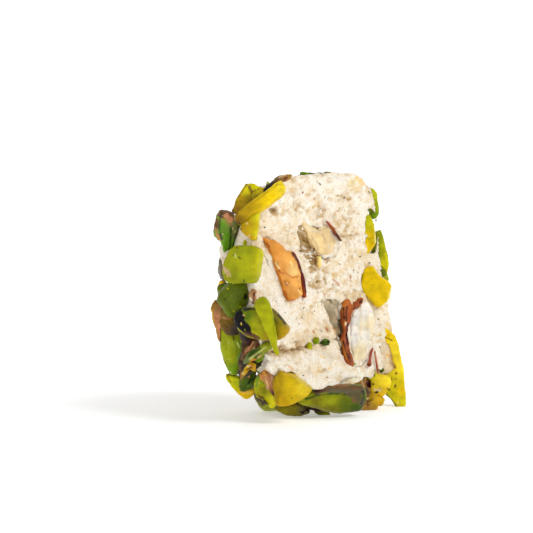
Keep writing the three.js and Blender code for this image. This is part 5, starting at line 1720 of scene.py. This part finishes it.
def bits_on_sides(chance, tree, palette, count, sizes, sink, behind, spacing=0.0, turned=1.0, is_free=None):
    """Spots on the coated side of the piece, for bits of a palette.

    sink is how far they are sunk, as a share of their size, behind the least y, spacing how close they
    may lie, and turned how squarely they may face the camera. is_free says if a spot is clear of nuts.
    """
    bits = []
    for _ in range(TRIES):
        if len(bits) >= count:
            break
        aim = random_direction(chance)
        spot, normal, _, _ = tree.ray_cast(BALL_MIDDLE + aim * 60, -aim)
        if spot is None or spot.y < behind or normal.y < -0.6 or normal.dot(aim) < 0.4:
            continue
        if math.hypot(spot.x, spot.z) < FACE_CLEAR and spot.y < FACE_CLEAR / 3:
            continue
        if normal.dot(VIEW_IN_HALF) > turned or (is_free and not is_free(spot)):
            continue
        size = chance.uniform(*sizes)
        if spacing and any((spot - other[0]).length < spacing * (size + other[2]) for other in bits):
            continue
        outward = (normal + aim).normalized()
        bits.append((spot, outward, size, weighted(chance, BIT_COLOURS[palette]), sink * size))
    return bits


def seen_at(pixel, tree):
    """The spot and normal of a tree that the photograph's camera sees at a pixel, or None twice."""
    eye = ROW_TO_HALF @ (EYE * METRES)
    aim = (on_plane(pixel, Vector((0, 0, 0)), Vector((0, -1, 0))) - eye).normalized()
    return tree.ray_cast(eye, aim)[:2]


def on_face(chance, tree, x_range, z_range):
    """The spot and normal of a tree at a random place of the cut face, or None twice."""
    x, z = chance.uniform(*x_range), chance.uniform(*z_range)
    return tree.ray_cast(Vector((x, -30, z)), Vector((0, 1, 0)))[:2]


def face_specks(chance, everything, nougat_tree):
    """Bits of spice and skin in the cut face, the bold ones where the photograph shows them."""
    specks = []
    for x, y, radius, colour in BOLD_SPECKS:
        spot, normal = seen_at((x, y), everything)
        if spot is not None:
            specks.append((spot, normal, radius * 3.2, colour, radius * 0.5))
    while len(specks) < SPECKS:
        spot, normal = on_face(chance, everything, (-17, 18), (-18, 19))
        if spot is None or spot.y > 2 or nougat_tree.find_nearest(spot)[3] > 0.02:
            continue
        radius = 0.06 + 0.12 * chance.random() ** 3
        specks.append((spot, normal, radius * 2, weighted(chance, SPECK_COLOURS), radius * 0.7))
    return specks


def nougat_crumbs(chance, nougat_tree):
    """Loose crumbs of nougat on the cut face and in its hollows."""
    torn = []
    while len(torn) < CRUMBS:
        spot, normal = on_face(chance, nougat_tree, (-15, 17), (-16, 18))
        if spot is None or spot.y > 1.5 or noise(np.array([spot]), 4.0, 31, 2)[0] < 0.1:
            continue
        tone = weighted(chance, CRUMB_COLOURS)
        torn.append((spot, normal, chance.uniform(0.25, 0.75), tone, 0.12))
    for _, outline in HOLLOWS:
        corners = np.array(outline)
        for _ in range(TRIES_IN_HOLLOW):
            pixel = [chance.uniform(low, high) for low, high in zip(corners.min(0), corners.max(0))]
            if inside_by(np.array([pixel]), outline)[0] < 0:
                continue
            spot, normal = seen_at(pixel, nougat_tree)
            if spot is not None:
                tone = weighted(chance, HOLLOW_CRUMB_COLOURS)
                torn.append((spot, normal, chance.uniform(0.2, 0.55), tone, 0.06))
    return torn


def build_bits(nougat, nuts):
    """The scattered bits, one piece for each kind."""
    chance = random.Random(BITS_CHANCE)
    nougat_tree = search_tree([nougat])
    nut_tree = search_tree(nuts)
    everything = search_tree([nougat, *nuts])

    def clear_of_nuts(spot):
        near = nut_tree.find_nearest(spot)
        return near[0] is None or near[3] > CHOPPED_CLEAR

    chunks = chunk_shapes(chance, 10, 2, 0.6)
    crumbs = chunk_shapes(chance, 6, 1, 0.7)
    flakes = chunk_shapes(chance, 8, 2, 0.16)
    for name, material, slot, *plan in CHOPPED:
        bits = bits_on_sides(chance, nougat_tree, *plan, sink=0.12, behind=0.6, spacing=0.36, turned=0.1,
                             is_free=clear_of_nuts)
        scattered(name, material, bits, chunks, chance)
    bits = bits_on_sides(chance, everything, *FLAKES, sink=-0.02, behind=1.5, turned=-0.3)
    scattered("skin_flakes", SKIN, bits, flakes, chance)
    bits = []
    for plan in DUST:
        bits += bits_on_sides(chance, everything, *plan, sink=0.15, behind=0)
    scattered("nut_dust", PISTACHIO, bits, crumbs, chance)
    bits = face_specks(chance, everything, nougat_tree)
    scattered("face_specks", SKIN, bits, crumbs, chance)
    scattered("nougat_crumbs", NOUGAT, nougat_crumbs(chance, nougat_tree), crumbs, chance)


nougat = build_nougat()
build_photo_pieces(nougat)
build_back_nuts()
nut_pieces = [piece for piece in bpy.data.objects if piece.name.endswith("_nut")]
build_bits(nougat, nut_pieces)


# ---- floor, light and camera -------------------------------------------------------------------
FLOOR_REACH = 2.0
BACKDROP_RADIUS = 0.5
BACKDROP_HEIGHT = 2.5
BACKDROP_STEPS = 16
GLOW_START = 0.02  # metres from the piece at which the sheet begins to glow, as a light table does
GLOW_END = 0.12
GLOW = 0.6
GLOW_LEAST = 0.32
WORLD_LIGHT = 0.32
# [direction (right, up, towards the camera), distance, size, watts]
LAMPS = {
    "key": ((0.85, 0.85, 0.55), 0.8, 0.32, 3.0),
    "fill": ((-0.8, 0.4, 0.8), 0.6, 0.4, 0.6),
}
LAMP_TARGET = Vector((0, 0, 0.02))


def floor_material():
    material = bpy.data.materials.new("floor_white")
    material.use_nodes = True
    nodes, links = material.node_tree.nodes, material.node_tree.links
    shader = set_inputs(nodes["Principled BSDF"], {
        "Roughness": 0.9,
        "Specular IOR Level": 0.1,
        "Emission Color": (1, 1, 1, 1),
    })
    speckle = set_inputs(nodes.new("ShaderNodeTexNoise"), {"Scale": 400})
    tone = set_inputs(nodes.new("ShaderNodeMapRange"), {"To Min": 0.93, "To Max": 0.97})
    links.new(speckle.outputs["Fac"], tone.inputs["Value"])
    links.new(tone.outputs["Result"], shader.inputs["Base Color"])
    place = nodes.new("ShaderNodeTexCoord")
    away = nodes.new("ShaderNodeVectorMath")
    away.operation = "LENGTH"
    links.new(place.outputs["Object"], away.inputs[0])
    glow = set_inputs(nodes.new("ShaderNodeMapRange"), {
        "From Min": GLOW_START,
        "From Max": GLOW_END,
        "To Min": GLOW_LEAST,
        "To Max": GLOW,
    })
    links.new(away.outputs["Value"], glow.inputs["Value"])
    links.new(glow.outputs["Result"], shader.inputs["Emission Strength"])
    return material


def build_floor():
    """A pale sheet that runs back and curves up."""
    bend = FLOOR_REACH * 0.4
    rows = [(-FLOOR_REACH, 0.0), (bend, 0.0)]
    for step in range(1, BACKDROP_STEPS + 1):
        turn = math.pi / 2 * step / BACKDROP_STEPS
        rows.append((bend + BACKDROP_RADIUS * math.sin(turn), BACKDROP_RADIUS * (1 - math.cos(turn))))
    rows.append((rows[-1][0], BACKDROP_HEIGHT))
    away = Vector((-VIEW_BACK.x, -VIEW_BACK.y, 0)).normalized()
    across = Vector((-away.y, away.x, 0))
    verts, faces = [], []
    for distance, height in rows:
        for side in (-FLOOR_REACH, FLOOR_REACH):
            verts.append(away * distance + across * side + Vector((0, 0, height)))
    for row in range(len(rows) - 1):
        faces.append((2 * row, 2 * row + 1, 2 * row + 3, 2 * row + 2))
    mesh = bpy.data.meshes.new("floor")
    mesh.from_pydata(verts, [], faces)
    mesh.polygons.foreach_set("use_smooth", np.ones(len(mesh.polygons), bool))
    mesh.materials.append(floor_material())
    in_scene("floor", mesh)


def add_light(name, toward, distance, size, power):
    """A square lamp that shines on the piece."""
    flat_back = Vector((VIEW_BACK.x, VIEW_BACK.y, 0)).normalized()
    aim = VIEW_RIGHT * toward[0] + Vector((0, 0, 1)) * toward[1] + flat_back * toward[2]
    aim.normalize()
    lamp = bpy.data.lights.new(name, "AREA")
    lamp.shape = "SQUARE"
    lamp.size = size
    lamp.energy = power
    thing = in_scene(name, lamp)
    thing.location = LAMP_TARGET + aim * distance
    thing.rotation_euler = aim.to_track_quat("Z", "Y").to_euler()


def build_stage():
    """The floor, the light and the photograph's camera."""
    build_floor()
    for name, settings in LAMPS.items():
        add_light(name, *settings)
    world = bpy.data.worlds.new("studio")
    world.use_nodes = True
    set_inputs(world.node_tree.nodes["Background"], {"Color": (1, 1, 1, 1), "Strength": WORLD_LIGHT})
    bpy.context.scene.world = world
    bpy.context.scene.view_settings.view_transform = "Standard"

    camera = bpy.data.cameras.new("photo_view")
    camera.sensor_width = SENSOR
    camera.lens = SENSOR * FOCAL_PIXELS / PHOTO_SIZE
    camera.clip_start = 0.01
    thing = in_scene("photo_view", camera)
    axes = Matrix((VIEW_RIGHT, VIEW_UP, VIEW_BACK)).transposed().to_4x4()
    thing.matrix_world = Matrix.Translation(EYE * METRES) @ axes
    bpy.context.scene.camera = thing


build_stage()

bpy.context.view_layer.update()
